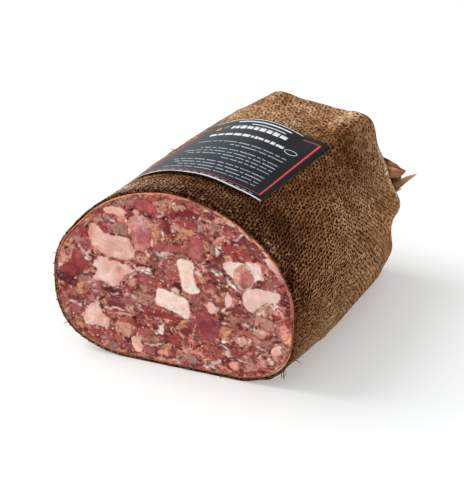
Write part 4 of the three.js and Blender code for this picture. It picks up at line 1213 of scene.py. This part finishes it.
def makeChunk(name, ring, toned, material):
    shape, seed = chunkShapes[name], seedOf(name)
    depth, lift = shape["depth"], shape.get("lift", 0.0)
    count, middle = len(ring), ring.mean(axis=0)
    # the front is a low dome of rings, the back four narrowing rings
    shares = np.linspace(1, 0, chunkLook["rings"], endpoint=False) ** 0.85
    flat = np.concatenate([middle + (ring - middle) * share for share in shares] + [middle[None, :]])
    share = np.append(np.repeat(shares, count), 0)
    deep = onFace(flat, seed * 3.0)
    sink = chunkLook["liftedSink"] if lift else chunkLook["sink"]
    proud = chunkLook["dome"] * (1 - share ** 4) - sink * share ** 6 + lift
    grain = 0.12 * layeredNoise(deep, 5, 3, seed) + 0.05 * layeredNoise(deep, 1.2, 2, seed + 4)
    front = onFace(flat, -(proud + grain * (1 - share ** 8)))
    back = [onFace(middle + (ring - middle) * scale, depth * part) for part, scale in chunkLook["backs"]]
    points = np.concatenate([*back, front[:-1], [(middle[0], depth, middle[1])], front[-1:]])
    faces = turnedOut(points, tubeFaces(len(back) + len(shares), count))

    # colour: the kind, patches, then the edge
    places = points[:, [0, 2]]
    lean = not name.startswith("fat")
    edgeTone = kindTones[shape["edge"]]
    colours = np.tile(kindTones[shape["kind"]], (len(points), 1))

    def noise(size, layers, more):
        return layeredNoise(points, size, layers, seed + more)
    for x, z, radius, kind, strength in chunkPatches.get(name, []):
        ragged = np.hypot(places[:, 0] - x, places[:, 1] - z) / radius + 0.35 * noise(5, 2, 9)
        colours = blend(colours, kindTones[kind], strength * np.exp(-ragged ** 2 * 1.2))
    rimShare = np.concatenate([np.ones(len(back) * count), np.repeat(shares, count), [1, 0]])
    start, strength = (0.8, 1.0) if name == "tongue_core" else (0.72, 0.75)
    nearRim = smooth((rimShare + 0.22 * noise(4, 2, 2) - start) / (1.06 - start))
    colours = blend(colours, edgeTone, strength * nearRim)
    # mottling, thin veins and a few specks
    colours = blend(colours, edgeTone, 0.5 * smooth((noise(7, 3, 5) + 0.25) / 0.9))
    veins = smooth((0.13 - np.abs(noise(7, 2, 6))) / 0.13)
    colours = blend(colours, kindTones["red" if lean else "pink"], 0.3 * veins)
    streak = fibres(places, np.full((len(points), 2), seed), seed + 7) * (0.12 if lean else 0.05)
    clouds = 0.24 * noise(3.4, 3, 14) if lean else 0.05 * noise(5, 2, 14)
    colours *= (1 + streak + clouds + 0.08 * noise(1.5, 2, 8))[:, None]
    size, least, strength, kind = (1.0, 0.5, 0.75, "plum") if lean else (1.3, 0.8, 0.4, "brown")
    colours = blend(colours, kindTones[kind], smooth((noise(size, 2, 10) - least) / 0.3) * strength)
    if name != "tongue_core":
        # the mince creeps over the edge in ragged tongues
        within = insideDistance(places, ring) - 0.35 + shape.get("ragged", 1.0) * noise(2.2, 3, 12)
        colours = blend(colours, minceTones(places, toned), 0.9 * (1 - smooth(within / 1.2)))
    return makePiece(name + "Cut", points, faces, material, colours=colours)


def meatMaterial(name, roughness, subsurface, grainScale, grainStrength, flecks, bumpDepth):
    material, tree, shader = startMaterial(
        name, Roughness=roughness, Subsurface_Weight=subsurface, Subsurface_Radius=(1.0, 0.45, 0.3),
        Subsurface_Scale=0.003, Specular_IOR_Level=0.2)
    spots = objectPoints(tree)
    grain = noiseOf(tree, spots, grainScale, 4.0, 0.65)
    low, high = ((1 + way * grainStrength,) * 3 + (1,) for way in (-1, 1))
    colour = multiplied(tree, paintedTone(tree), ramp(tree, grain, (0.25, low), (0.75, high)))
    cells = node(tree, "TexVoronoi", None, Vector=spots, Scale=grainScale * 1.6).outputs["Color"]
    flecked = mixColours(tree, flecks, colour, node(tree, "RGBToBW", None, Color=cells).outputs[0], "OVERLAY")
    tree.links.new(flecked, shader.inputs["Base Color"])
    fine = noiseOf(tree, spots, grainScale * 4, 3.0, 0.6)
    addBump(tree, shader, math2(tree, "ADD", grain, math2(tree, "MULTIPLY", fine, 0.4)), 0.5, bumpDepth)
    return material


# Peppercorn crumbs, scattered over the cut face between the chunks

pepper = {"density": 8000.0, "size": 0.00036, "seed": 21, "rings": 24, "columns": 72, "rimInset": 6.0}


def makePepper(chunkRings):
    material = mottledMaterial("pepperCrumb", (900.0, 2.0), (0.35, tone(58, 32, 22)),
                               (0.7, tone(112, 72, 48)), Roughness=0.6)
    tree, asked = startTree("pepperCrumbs", Density="Float", Size="Float", Seed="Int")
    points = strewn(tree, asked)
    crumb = node(tree, "GeometryNodeMeshIcoSphere", None, Radius=1.0, Subdivisions=1)
    size = randomOf(tree, (0.5, 0.5, 0.4), (1.5, 1.1, 1.0), 4)
    scale = node(tree, "VectorMath", {"operation": "SCALE"}, in0=size, Scale=asked["Size"])
    endTree(tree, points, crumb, randomOf(tree, (0, 0, 0), (6.28, 6.28, 6.28), 3), scale, material)

    rim = bodyPoint(fullTurn(pepper["columns"]), 0, pepper["rimInset"]) - bodyMiddle
    points = np.concatenate([bodyMiddle + rim * share for share in np.linspace(0.03, 1, pepper["rings"])])
    points[:, 1] = -0.05
    faces = gridFaces(pepper["rings"], pepper["columns"], closed=True)
    centres = points[faces].mean(axis=1)[:, [0, 2]]
    free = np.all([insideDistance(centres, ring) < 0 for ring in chunkRings], axis=0)
    carrier = makePiece("pepperCarrier", points, faces[free].tolist(), material)
    return grownPiece("pepperCrumbs", carrier, tree, pepper)


# Casing, the thin skin between meat and cloth

casing = {
    "columns": 320, "outer": 1.9, "inner": 2.85, "footZ": 0.3,
    "ringsAt": (216, 204, 192, 180, 166, 152, 138, 124, 110, 95, 80, 60, 40, 20, 8),
    # the lip's section: how far out of the cut, inset
    "lip": ((0.2, 1.92), (0.75, 1.95), (1.0, 2.1), (1.0, 2.4), (0.75, 2.62), (0.2, 2.8)),
    "tones": {"salmon": (232, 150, 118), "rust": (196, 114, 74), "dark": (92, 50, 34),
              "golden": (186, 128, 88), "flap": (232, 190, 160), "stained": (112, 34, 24),
              "soaked": (104, 66, 42)},
}


def casingTone(points):
    x, y, z = points.T
    tones = {name: rgb(*value) for name, value in casing["tones"].items()}
    flatPoints = points * (1, 0, 1)
    # salmon over the top, browner at the sides, and dark near the floor as painted shade where the cut meets it,
    # rising up the lower left
    change = layeredNoise(flatPoints, 5, 3, 19)
    colours = blend(tones["rust"], tones["salmon"], smooth((z - 84 + 16 * change) / 24))
    low = smooth((12 + 62 * smooth((-x - 20) / 40) - z + 7 * change) / 14)
    colours = blend(colours, tones["dark"], low)
    # golden meat shows between dark stitches at the lower left
    speckle = 0.25 + 0.75 * smooth((latticeNoise(points, 1.5, 23) + 0.15) / 0.3)
    colours = blend(colours, np.outer(speckle, tones["golden"]), low * 0.85 * smooth(0.8 - y))
    # a pale loose bit at the right foot
    flap = np.exp(-np.hypot((x - 83) / 9, (z - 13) / 9) ** 2)
    colours = blend(colours, tones["flap"], flap)
    # dark red stains at the upper right, brown soaked ones below them
    stained = smooth((layeredNoise(flatPoints, 7, 2, 27) - 0.12) / 0.3)
    stained = stained * smooth((x + 10) / 30) * smooth((z - 30) / 20)
    colours = blend(colours, tones["stained"], 0.8 * stained)
    soaked = smooth((latticeNoise(flatPoints, 4.2, 28) + 0.1) / 0.3)
    soaked = soaked * smooth((x - 40) / 30) * smooth((66 - z) / 16)
    return blend(colours, tones["soaked"], 0.75 * soaked * (1 - flap))


def makeCasing(material):
    outer, inner = casing["outer"], casing["inner"]
    angles = fullTurn(casing["columns"])
    wave = np.column_stack([np.cos(angles) * 40, np.sin(angles) * 40, np.zeros(len(angles))])
    # the lip stands out at the top and dies away along the floor
    over = smooth((np.sin(angles) + 0.55) / 0.6)
    lip = (0.75 + 0.4 * layeredNoise(wave, 7, 3, 5)) * over - 0.3 * (1 - over)
    sway = 0.22 * layeredNoise(wave, 10, 2, 8)
    degrees = np.degrees(angles)
    wide = np.clip(0.4 + 1.1 * layeredNoise(wave, 4, 3, 12), -0.3, 1.8)
    wide = 0.85 + wide * smooth((np.sin(angles) + 0.1) / 0.5)
    wide = wide * (1 - 0.35 * smooth((-np.cos(angles) - 0.05) / 0.4)) * (1 - 0.3 * bell(degrees, -2, 22))
    wide = wide + 1.3 * bell(degrees, -31, 8) + 0.8 * bell(degrees, 62, 10)
    rings = [bodyPoint(angles, y, inset) for y, inset in
             [(228, 5.5), (222, outer)] + [(y, outer) for y in casing["ringsAt"]] + [(2, outer)]]
    for out, inset in casing["lip"]:
        ring = bodyPoint(angles, 0, outer + (inset - outer) * wide)
        ring[:, [0, 2]] *= 1 + (sway * out / 90)[:, None]
        ring[:, 1] = -lip * out
        rings.append(ring)
    rings += [bodyPoint(angles, y, inset) for y, inset in
              [(2, inner)] + [(y, inner) for y in casing["ringsAt"][::-1]] + [(222, inner), (227, 6.5)]]
    points = np.concatenate(rings)
    points[:, 2] = np.maximum(points[:, 2], casing["footZ"])
    colours = casingTone(points)
    points = np.concatenate([points, bodyMiddle + [(0, 229, 0), (0, 228, 0)]])
    faces = turnedOut(points, tubeFaces(len(rings), len(angles)))
    return makePiece("casingSkin", points, faces, material, colours=np.vstack([colours, colours[:2]]))


def casingMaterial():
    return mottledMaterial(
        "casingSkin", (500.0, 3.0), (0.3, (0.68, 0.55, 0.48, 1)), (0.65, (1.12, 1.16, 1.14, 1)),
        bump=((700.0, 3.0), 0.4, 0.0005), painted=True, Roughness=0.45, Subsurface_Weight=0.3,
        Subsurface_Radius=(1.0, 0.4, 0.2), Subsurface_Scale=0.002)


# The paper label: a curved sheet with a lifted front edge, and its print as thin raised shapes

def labelPoint(across, along, height):
    across, along = np.broadcast_arrays(np.asarray(across, float), np.asarray(along, float))
    front, back = (throughMiddle(np.array(label[edge], float), across[..., None])
                   for edge in ("front", "back"))
    angle, y = np.moveaxis(front + (back - front) * along[..., None], -1, 0)
    frontShare = 1 - smooth(along * (back[..., 1] - front[..., 1]) / label["liftLength"])
    lifted = label["lift"] * frontShare * np.sin(np.pi * np.clip(across, 0, 1)) ** 0.8
    ripple = 0.18 * np.sin(across * 19 + along * 5) * frontShare
    return bodyPoint(np.radians(angle), y, -(label["clearance"] + lifted + ripple + height))


def slab(across, along, low, high):
    # a thin closed sheet over a grid of label places, and which of its faces are bare paper
    count = across.size
    points = np.concatenate([labelPoint(across, along, height).reshape(-1, 3) for height in (low, high)])
    grid, border = gridFaces(*across.shape), borderOf(*across.shape)
    sides = [(here, ahead, ahead + count, here + count)
             for here, ahead in zip(border, border[1:] + border[:1])]
    faces = [*map(tuple, grid[:, ::-1].tolist()), *map(tuple, (grid + count).tolist()), *sides]
    return points, turnedOut(points, faces), [1] * len(grid) + [0] * len(grid) + [1] * len(sides)


def makeLabel(charcoal, paper):
    across, along = np.meshgrid(*(np.linspace(0, 1, label[way] + 1) for way in ("across", "along")))
    points, faces, kindsOf = slab(across, along, 0.0, label["thickness"])
    piece = makePiece("paperLabel", points, faces, [charcoal, paper])
    piece.data.polygons.foreach_set("material_index", kindsOf)
    return piece


printed = {
    "sunk": 0.03, "proud": 0.1, "wideShape": 1.35, "tallShape": 1.22, "seed": 14,
    # heading bars: start, end, how far along the label, half width
    "headings": ((0.26, 0.74, 0.85, 0.03), (0.22, 0.41, 0.725, 0.021), (0.45, 0.84, 0.725, 0.021)),
    "rows": (0.60, 0.555, 0.48, 0.435, 0.39, 0.345, 0.275, 0.23, 0.185, 0.14),
}


def mark(fromAcross, fromAlong, toAcross, toAlong, halfWidth, steps=24):
    # a straight stroke between two label places; widths are shares of the label
    shape = np.array([printed["wideShape"], printed["tallShape"]])
    start, end = np.array([fromAcross, fromAlong]), np.array([toAcross, toAlong])
    axis = end - start
    side = np.array([-axis[1] * shape[1], axis[0] * shape[0]]) / shape
    side = side / np.hypot(*(side * shape)) * halfWidth
    return np.array([start + axis * np.linspace(0, 1, steps)[:, None] + side * k for k in (-1, -0.3, 0.3, 1)])


def inkPiece(name, strokes, material):
    low, high = label["thickness"] - printed["sunk"], label["thickness"] + printed["proud"]
    parts = [slab(lines[..., 0], lines[..., 1], low, high)[:2] for lines in strokes]
    return makePiece(name, *joinGrids(parts), material)


def ringStroke(across, along, wide, tall, thin):
    turn = np.linspace(0, 2 * math.pi, 40)
    circle = np.column_stack([np.cos(turn), np.sin(turn)])
    return np.array([(across, along) + circle * (wide - less, tall - less) for less in (thin, 0)])


def discStroke(across, along, wide, tall):
    return ringStroke(across, along, wide, tall, min(wide, tall) * 0.98)


def labelPrint():
    generator = np.random.default_rng(printed["seed"])
    # heading bars and a ring
    pale = []
    for start, end, along, half in printed["headings"]:
        place = start
        while place < end:
            length = 0.018 + 0.05 * generator.random() ** 1.3
            tall = half * (0.75 + 0.35 * generator.random())
            pale.append(mark(place, along, place + length, along, tall, 6))
            place += length + 0.011
    pale += [mark(0.30, 0.905, 0.60, 0.905, 0.006, 30), mark(0.27, 0.948, 0.74, 0.948, 0.009, 30),
             ringStroke(0.155, 0.71, 0.05, 0.032, 0.005)]
    # rows of short bars of uneven length
    fine = []
    for number, along in enumerate(printed["rows"]):
        place = 0.13
        end = 0.88 - 0.05 * (number % 3) - (0.25 if number in (1, 5) else 0)
        while place < end:
            length = 0.03 + 0.11 * generator.random() ** 1.4
            half = 0.0046 + 0.002 * generator.random()
            fine.append(mark(place, along, min(place + length, end + 0.01), along, half, 8))
            place += length + 0.013
    fine += [mark(place, 0.028, place + 0.036, 0.028, 0.004, 4) for place in np.arange(0.09, 0.9, 0.055)]
    return {
        "labelRedLine": [mark(0.05, 0.055, 0.05, 0.945, 0.0095, 60)],
        "labelDullRed": [mark(0.058, 0.06, 0.955, 0.06, 0.0055, 60),
                         mark(0.955, 0.06, 0.955, 0.93, 0.005, 40),
                         mark(0.058, 0.94, 0.17, 0.94, 0.0065)],
        "labelPaleBars": pale, "labelFineBars": fine,
        # the paper's pale edges; along the front they are drawn wider and whiter on the right, a painted
        # highlight where the light catches the edge
        "labelWhiteEdge": [mark(0.004, 0.006, 0.5, 0.006, 0.0065, 50),
                           mark(0.5, 0.004, 0.62, 0.004, 0.004, 12),
                           mark(0.62, 0.004, 0.996, 0.004, 0.002, 40),
                           mark(0.19, 0.985, 0.97, 0.985, 0.0035, 70)],
        "labelGreenSpot": [discStroke(0.80, 0.865, 0.03, 0.022)],
        "labelOchreSpot": [discStroke(0.86, 0.845, 0.022, 0.028)],
    }


def dimmed(colour, share):
    return tuple(value * share for value in colour[:3]) + (1,)


def inkMaterial(name, colour):
    return mottledMaterial(name, (260.0, 3.0), (0.3, dimmed(colour, 0.82)), (0.65, colour), Roughness=0.42)


def paperMaterial(name, colour):
    material, tree, shader = startMaterial(name, Roughness=0.55, Specular_IOR_Level=0.2)
    spots = objectPoints(tree)
    uneven = ramp(tree, noiseOf(tree, spots, 60.0, 4.0), (0.35, dimmed(colour, 0.8)), (0.7, colour))
    # a painted sheen, paler grey towards the left
    paintedSheen = mapped(tree, node(tree, "SeparateXYZ", None, Vector=spots).outputs["X"], 0.025, -0.07, 0.0, 0.42)
    tree.links.new(mixColours(tree, paintedSheen, uneven, tone(112, 122, 126)), shader.inputs["Base Color"])
    addBump(tree, shader, noiseOf(tree, spots, 500.0, 3.0), 0.12, 0.0004)
    return material


# String round the neck and the torn casing end

string = {
    "turns": 3, "radius": 1.3, "plies": 3, "pitch": 6.5, "around": 9.9, "along": 10.0,
    "plyPlace": 0.48, "plyRadius": 0.56, "plySides": 7,
    "ends": ((11, 3.0), (-8, 2.2)),                 # reach to the side, droop
}


def tube(path, radii, sides):
    # a round tube along a path, closed at both ends
    tangent = unit(np.gradient(path, axis=0))
    normal = np.cross(tangent[0], (0.31, 0.2, 0.93))
    turn = fullTurn(sides, 0)
    rings = []
    for place, axis, radius in zip(path, tangent, np.broadcast_to(radii, len(path))):
        normal = unit(normal - axis * (normal @ axis))
        circle = np.outer(np.cos(turn), normal) + np.outer(np.sin(turn), np.cross(axis, normal))
        rings.append(place + radius * circle)
    points = np.concatenate([*rings, path[:1], path[-1:]])
    return points, turnedOut(points, tubeFaces(len(path), sides))


def twisted(path, radius):
    # a cord as plies wound round each other along a path
    tangent = unit(np.gradient(path, axis=0))
    side = unit(np.cross(tangent, (0.05, 0.1, 1.0)))
    other = np.cross(tangent, side)
    parts = []
    for ply in range(string["plies"]):
        turn = 2 * math.pi * (pathLengths(path) / string["pitch"] + ply / string["plies"])
        away = side * np.cos(turn)[:, None] + other * np.sin(turn)[:, None]
        line = path + radius * string["plyPlace"] * away
        parts.append(tube(line, radius * string["plyRadius"], string["plySides"]))
    return parts


def makeString(material):
    turns, radius, around = string["turns"], string["radius"], string["around"]
    up = (0, 0, 1)
    share = np.linspace(0, 1, 90 * turns)
    angle = share * 2 * math.pi * turns + math.pi / 2
    slide = string["along"] + (share - 0.5) * turns * radius * 1.75
    wrap = neckFoot + np.outer(slide, neckAxis) + around * (
        np.outer(np.cos(angle), neckSide) + np.outer(np.sin(angle), up))
    top = neckFoot + neckAxis * string["along"] + np.array([0, 0, around + 0.8])
    loop = np.linspace(0, 2 * math.pi, 60)
    knot = top + np.outer(2.3 * np.sin(loop), neckSide) + np.outer(2.6 * np.sin(2 * loop), neckAxis) \
        + np.outer(1.2 + 1.1 * np.cos(3 * loop), up)
    parts = twisted(wrap, radius) + twisted(knot, radius)
    s = np.linspace(0, 1, 30)
    for reach, drop in string["ends"]:
        free = top + np.outer(s * reach, neckSide * 0.8 + neckAxis * 0.35) \
            + np.outer(1.5 + 3.2 * np.sin(s * 2.6) - drop * s * s * 1.6, up)
        parts += twisted(free, radius * 0.95)
    return makePiece("neckString", *joinGrids(parts), material)


tail = {
    "rings": 70, "sides": 40, "flutes": 7.5, "fluteDepth": 0.16, "cup": 0.16, "wrinkle": 0.3,
    # each strip's root, middle and tip; the dark roots are partly painted shade where the strips leave the cloth
    "tones": [[(70, 36, 26), (255, 184, 140), (206, 116, 74)],
              [(84, 54, 36), (190, 146, 98), (255, 190, 130)],
              [(96, 58, 40), (196, 138, 96), (166, 104, 70)],
              [(150, 118, 84), (212, 176, 126), (206, 156, 108)],
              [(60, 34, 24), (128, 92, 58), (158, 112, 72)]],
    # strips from root to tip: (x, y, z, half width, half thickness)
    "strips": [
        [(39, 256, 73, 6.5, 1.3), (52, 254.5, 76, 8.5, 1.3), (64, 252, 79.5, 9.8, 1.2),
         (73, 250, 80, 8.6, 1.0), (80, 249.2, 80.2, 6.4, 0.8), (84.5, 248.8, 80.6, 3.6, 0.6),
         (88.5, 248.4, 82.2, 0.4, 0.3)],
        [(39, 256, 70, 5.0, 1.3), (54, 254.4, 67, 5.2, 1.3), (68, 251.5, 66, 5.6, 1.2),
         (78, 249.8, 67.4, 5.0, 1.1), (85, 249.2, 71.4, 2.8, 0.9), (91, 248.8, 76, 1.9, 0.7),
         (98, 248.2, 80.6, 0.4, 0.3)],
        [(58, 252, 86.8, 2.6, 0.7), (68, 250.4, 88.2, 2.4, 0.6), (76, 249.4, 85.8, 2.0, 0.4),
         (84, 248.6, 83, 0.6, 0.2)],
        [(66, 252, 62.6, 1.4, 0.7), (74, 250.4, 61.4, 1.2, 0.6), (80, 249.6, 62.8, 0.9, 0.4),
         (86, 249, 66.4, 0.3, 0.2)],
        [(60, 253.4, 72, 4.4, 1.0), (72, 251.8, 73, 5.0, 0.9), (79, 250.8, 74.2, 4.0, 0.7),
         (84.6, 250.2, 75.4, 0.8, 0.4)],
    ],
}


def through(stations, count):
    # a smooth line through stations, all columns together
    stations = np.array(stations, float)
    last = len(stations) - 1
    share = np.linspace(0, last, count)
    index = np.minimum(share.astype(int), last - 1)
    around = (stations[np.clip(index + k, 0, last)] for k in (-1, 0, 1, 2))
    return curvePoint(*around, (share - index)[:, None])


def makeTail(material):
    sides, count = tail["sides"], tail["rings"]
    turn = fullTurn(sides, 0)
    parts, colours = [], []
    for number, strip in enumerate(tail["strips"]):
        root, middle, tip = (rgb(*value) for value in tail["tones"][number])
        line = through(strip, count)
        path, wide, thick = line[:, :3], np.maximum(line[:, 3], 0.25), np.maximum(line[:, 4], 0.2)
        tangent = unit(np.gradient(path, axis=0))
        across = unit(np.cross(tangent, (0, 1, 0)))
        face = np.cross(across, tangent)
        rings, shades = [], []
        for k in range(count):
            # the strip is cupped and has lengthwise flutes that wander a little
            flutes = np.cos(np.cos(turn) * tail["flutes"] + k * 0.05 + number)
            sideways = np.cos(turn) * wide[k] * (1 + 0.05 * math.sin(k * 0.3 + number))
            relief = tail["fluteDepth"] * flutes + tail["cup"] * np.cos(turn) ** 2
            outwards = np.sin(turn) * thick[k] + relief * wide[k]
            rings.append(path[k] + np.outer(sideways, across[k]) + np.outer(outwards, face[k]))
            fine = np.cos(np.cos(turn) * 17 + 1.5 * math.sin(k * 0.11) + 2 * number)
            # darker towards the root, partly painted shade where the strip leaves the cloth
            shade = root + (middle - root) * smooth((k / count - 0.46) / 0.16)
            shade = shade + (tip - shade) * smooth((k / count - 0.7) / 0.16)
            # lighter on the flute crests and darker in the flute valleys: painted light and shade; the fine
            # streaks are the skin's own
            shades.append(np.outer(0.86 + 0.32 * flutes + 0.22 * fine, shade))
        points = np.concatenate(rings)
        wrinkle = tail["wrinkle"] * layeredNoise(points, 5, 2, 60 + number)
        wrinkle = wrinkle * np.minimum(np.repeat(wide, sides) / 4, 1)
        points = points + ringNormals(points, count, sides) * wrinkle[:, None]
        points = np.concatenate([points, path[:1], path[-1:]])
        parts.append((points, turnedOut(points, tubeFaces(count, sides))))
        shades = np.concatenate(shades)
        colours += [shades, shades[:1], shades[-1:]]
    return makePiece("tornEnd", *joinGrids(parts), material, colours=np.concatenate(colours))


def tailMaterial():
    return mottledMaterial(
        "driedSkin", (170.0, 4.0, 0.6), (0.3, (0.5, 0.42, 0.36, 1)), (0.58, (1.12, 1.12, 1.12, 1)),
        bump=((320.0, 4.0, 0.6), 0.35, 0.0008), painted=True, Roughness=0.5, Subsurface_Weight=0.15,
        Subsurface_Scale=0.002)


# Build everything

bpy.context.scene.view_settings.view_transform = "Standard"
addCamera()
addStudio()
print("camera, floor and light are set")


def keep(piece, replaced=None):
    if replaced:
        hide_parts(replaced)
    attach(piece, "root")


juteFibre = fibreMaterial("juteFibre", tone(112, 80, 52), tone(196, 158, 116), 300.0)
cutJute = fibreMaterial("cutJuteThread", tone(44, 24, 14), tone(142, 92, 58), 500.0)
keep(makeCloth(juteMaterial()), "jute_wrap")
for piece in (makeFuzz(juteFibre), makeStubs(cutJute), makeLooseThreads(juteFibre)):
    keep(piece)
print("cloth made")

chunkFinishes = {
    "fat": meatMaterial("firmFat", 0.4, 0.25, 300.0, 0.05, 0.02, 0.0004),
    "jelly": meatMaterial("clearJelly", 0.3, 0.3, 260.0, 0.1, 0.04, 0.0004),
    "lean": meatMaterial("leanMeat", 0.42, 0.12, 520.0, 0.14, 0.07, 0.0006),
}
rings = {name: chunkRing(name) for name in chunkShapes}
minceLook = meatMaterial("mincedMeat", 0.42, 0.12, 420.0, 0.16, 0.10, 0.0007)
loaf, toned = makeLoaf(minceLook, list(rings.values()))
keep(loaf, "loaf")
for name, ring in rings.items():
    finish = chunkFinishes.get(name.split("_")[0], chunkFinishes["lean"])
    keep(makeChunk(name, ring, toned, finish), name)
keep(makePepper(list(rings.values())))
print("cut face made")

keep(makeCasing(casingMaterial()), "casing")
paper = [paperMaterial(name, colour) for name, colour in
         (("charcoalPaper", tone(14, 18, 24)), ("whitePaper", tone(236, 234, 230)))]
keep(makeLabel(*paper), "label")
inks = {
    "labelRedLine": ("redInk", (226, 60, 50)), "labelDullRed": ("dullRedInk", (176, 46, 54)),
    "labelPaleBars": ("paleInk", (236, 238, 242)), "labelFineBars": ("greyInk", (178, 184, 196)),
    # the pale label edges, partly painted highlight
    "labelWhiteEdge": ("paleEdgeAndHighlightInk", (255, 255, 253)), "labelGreenSpot": ("greenInk", (92, 118, 62)),
    "labelOchreSpot": ("ochreInk", (186, 142, 70)),
}
for name, strokes in labelPrint().items():
    ink, colour = inks[name]
    keep(inkPiece(name, strokes, inkMaterial(ink, tone(*colour))))
print("casing and label made")

twine = fibreMaterial("twine", tone(196, 168, 128), tone(236, 216, 180), 700.0)
keep(makeString(twine), "tie_string")
keep(makeTail(tailMaterial()), "casing_tail")
print("string and torn end made")
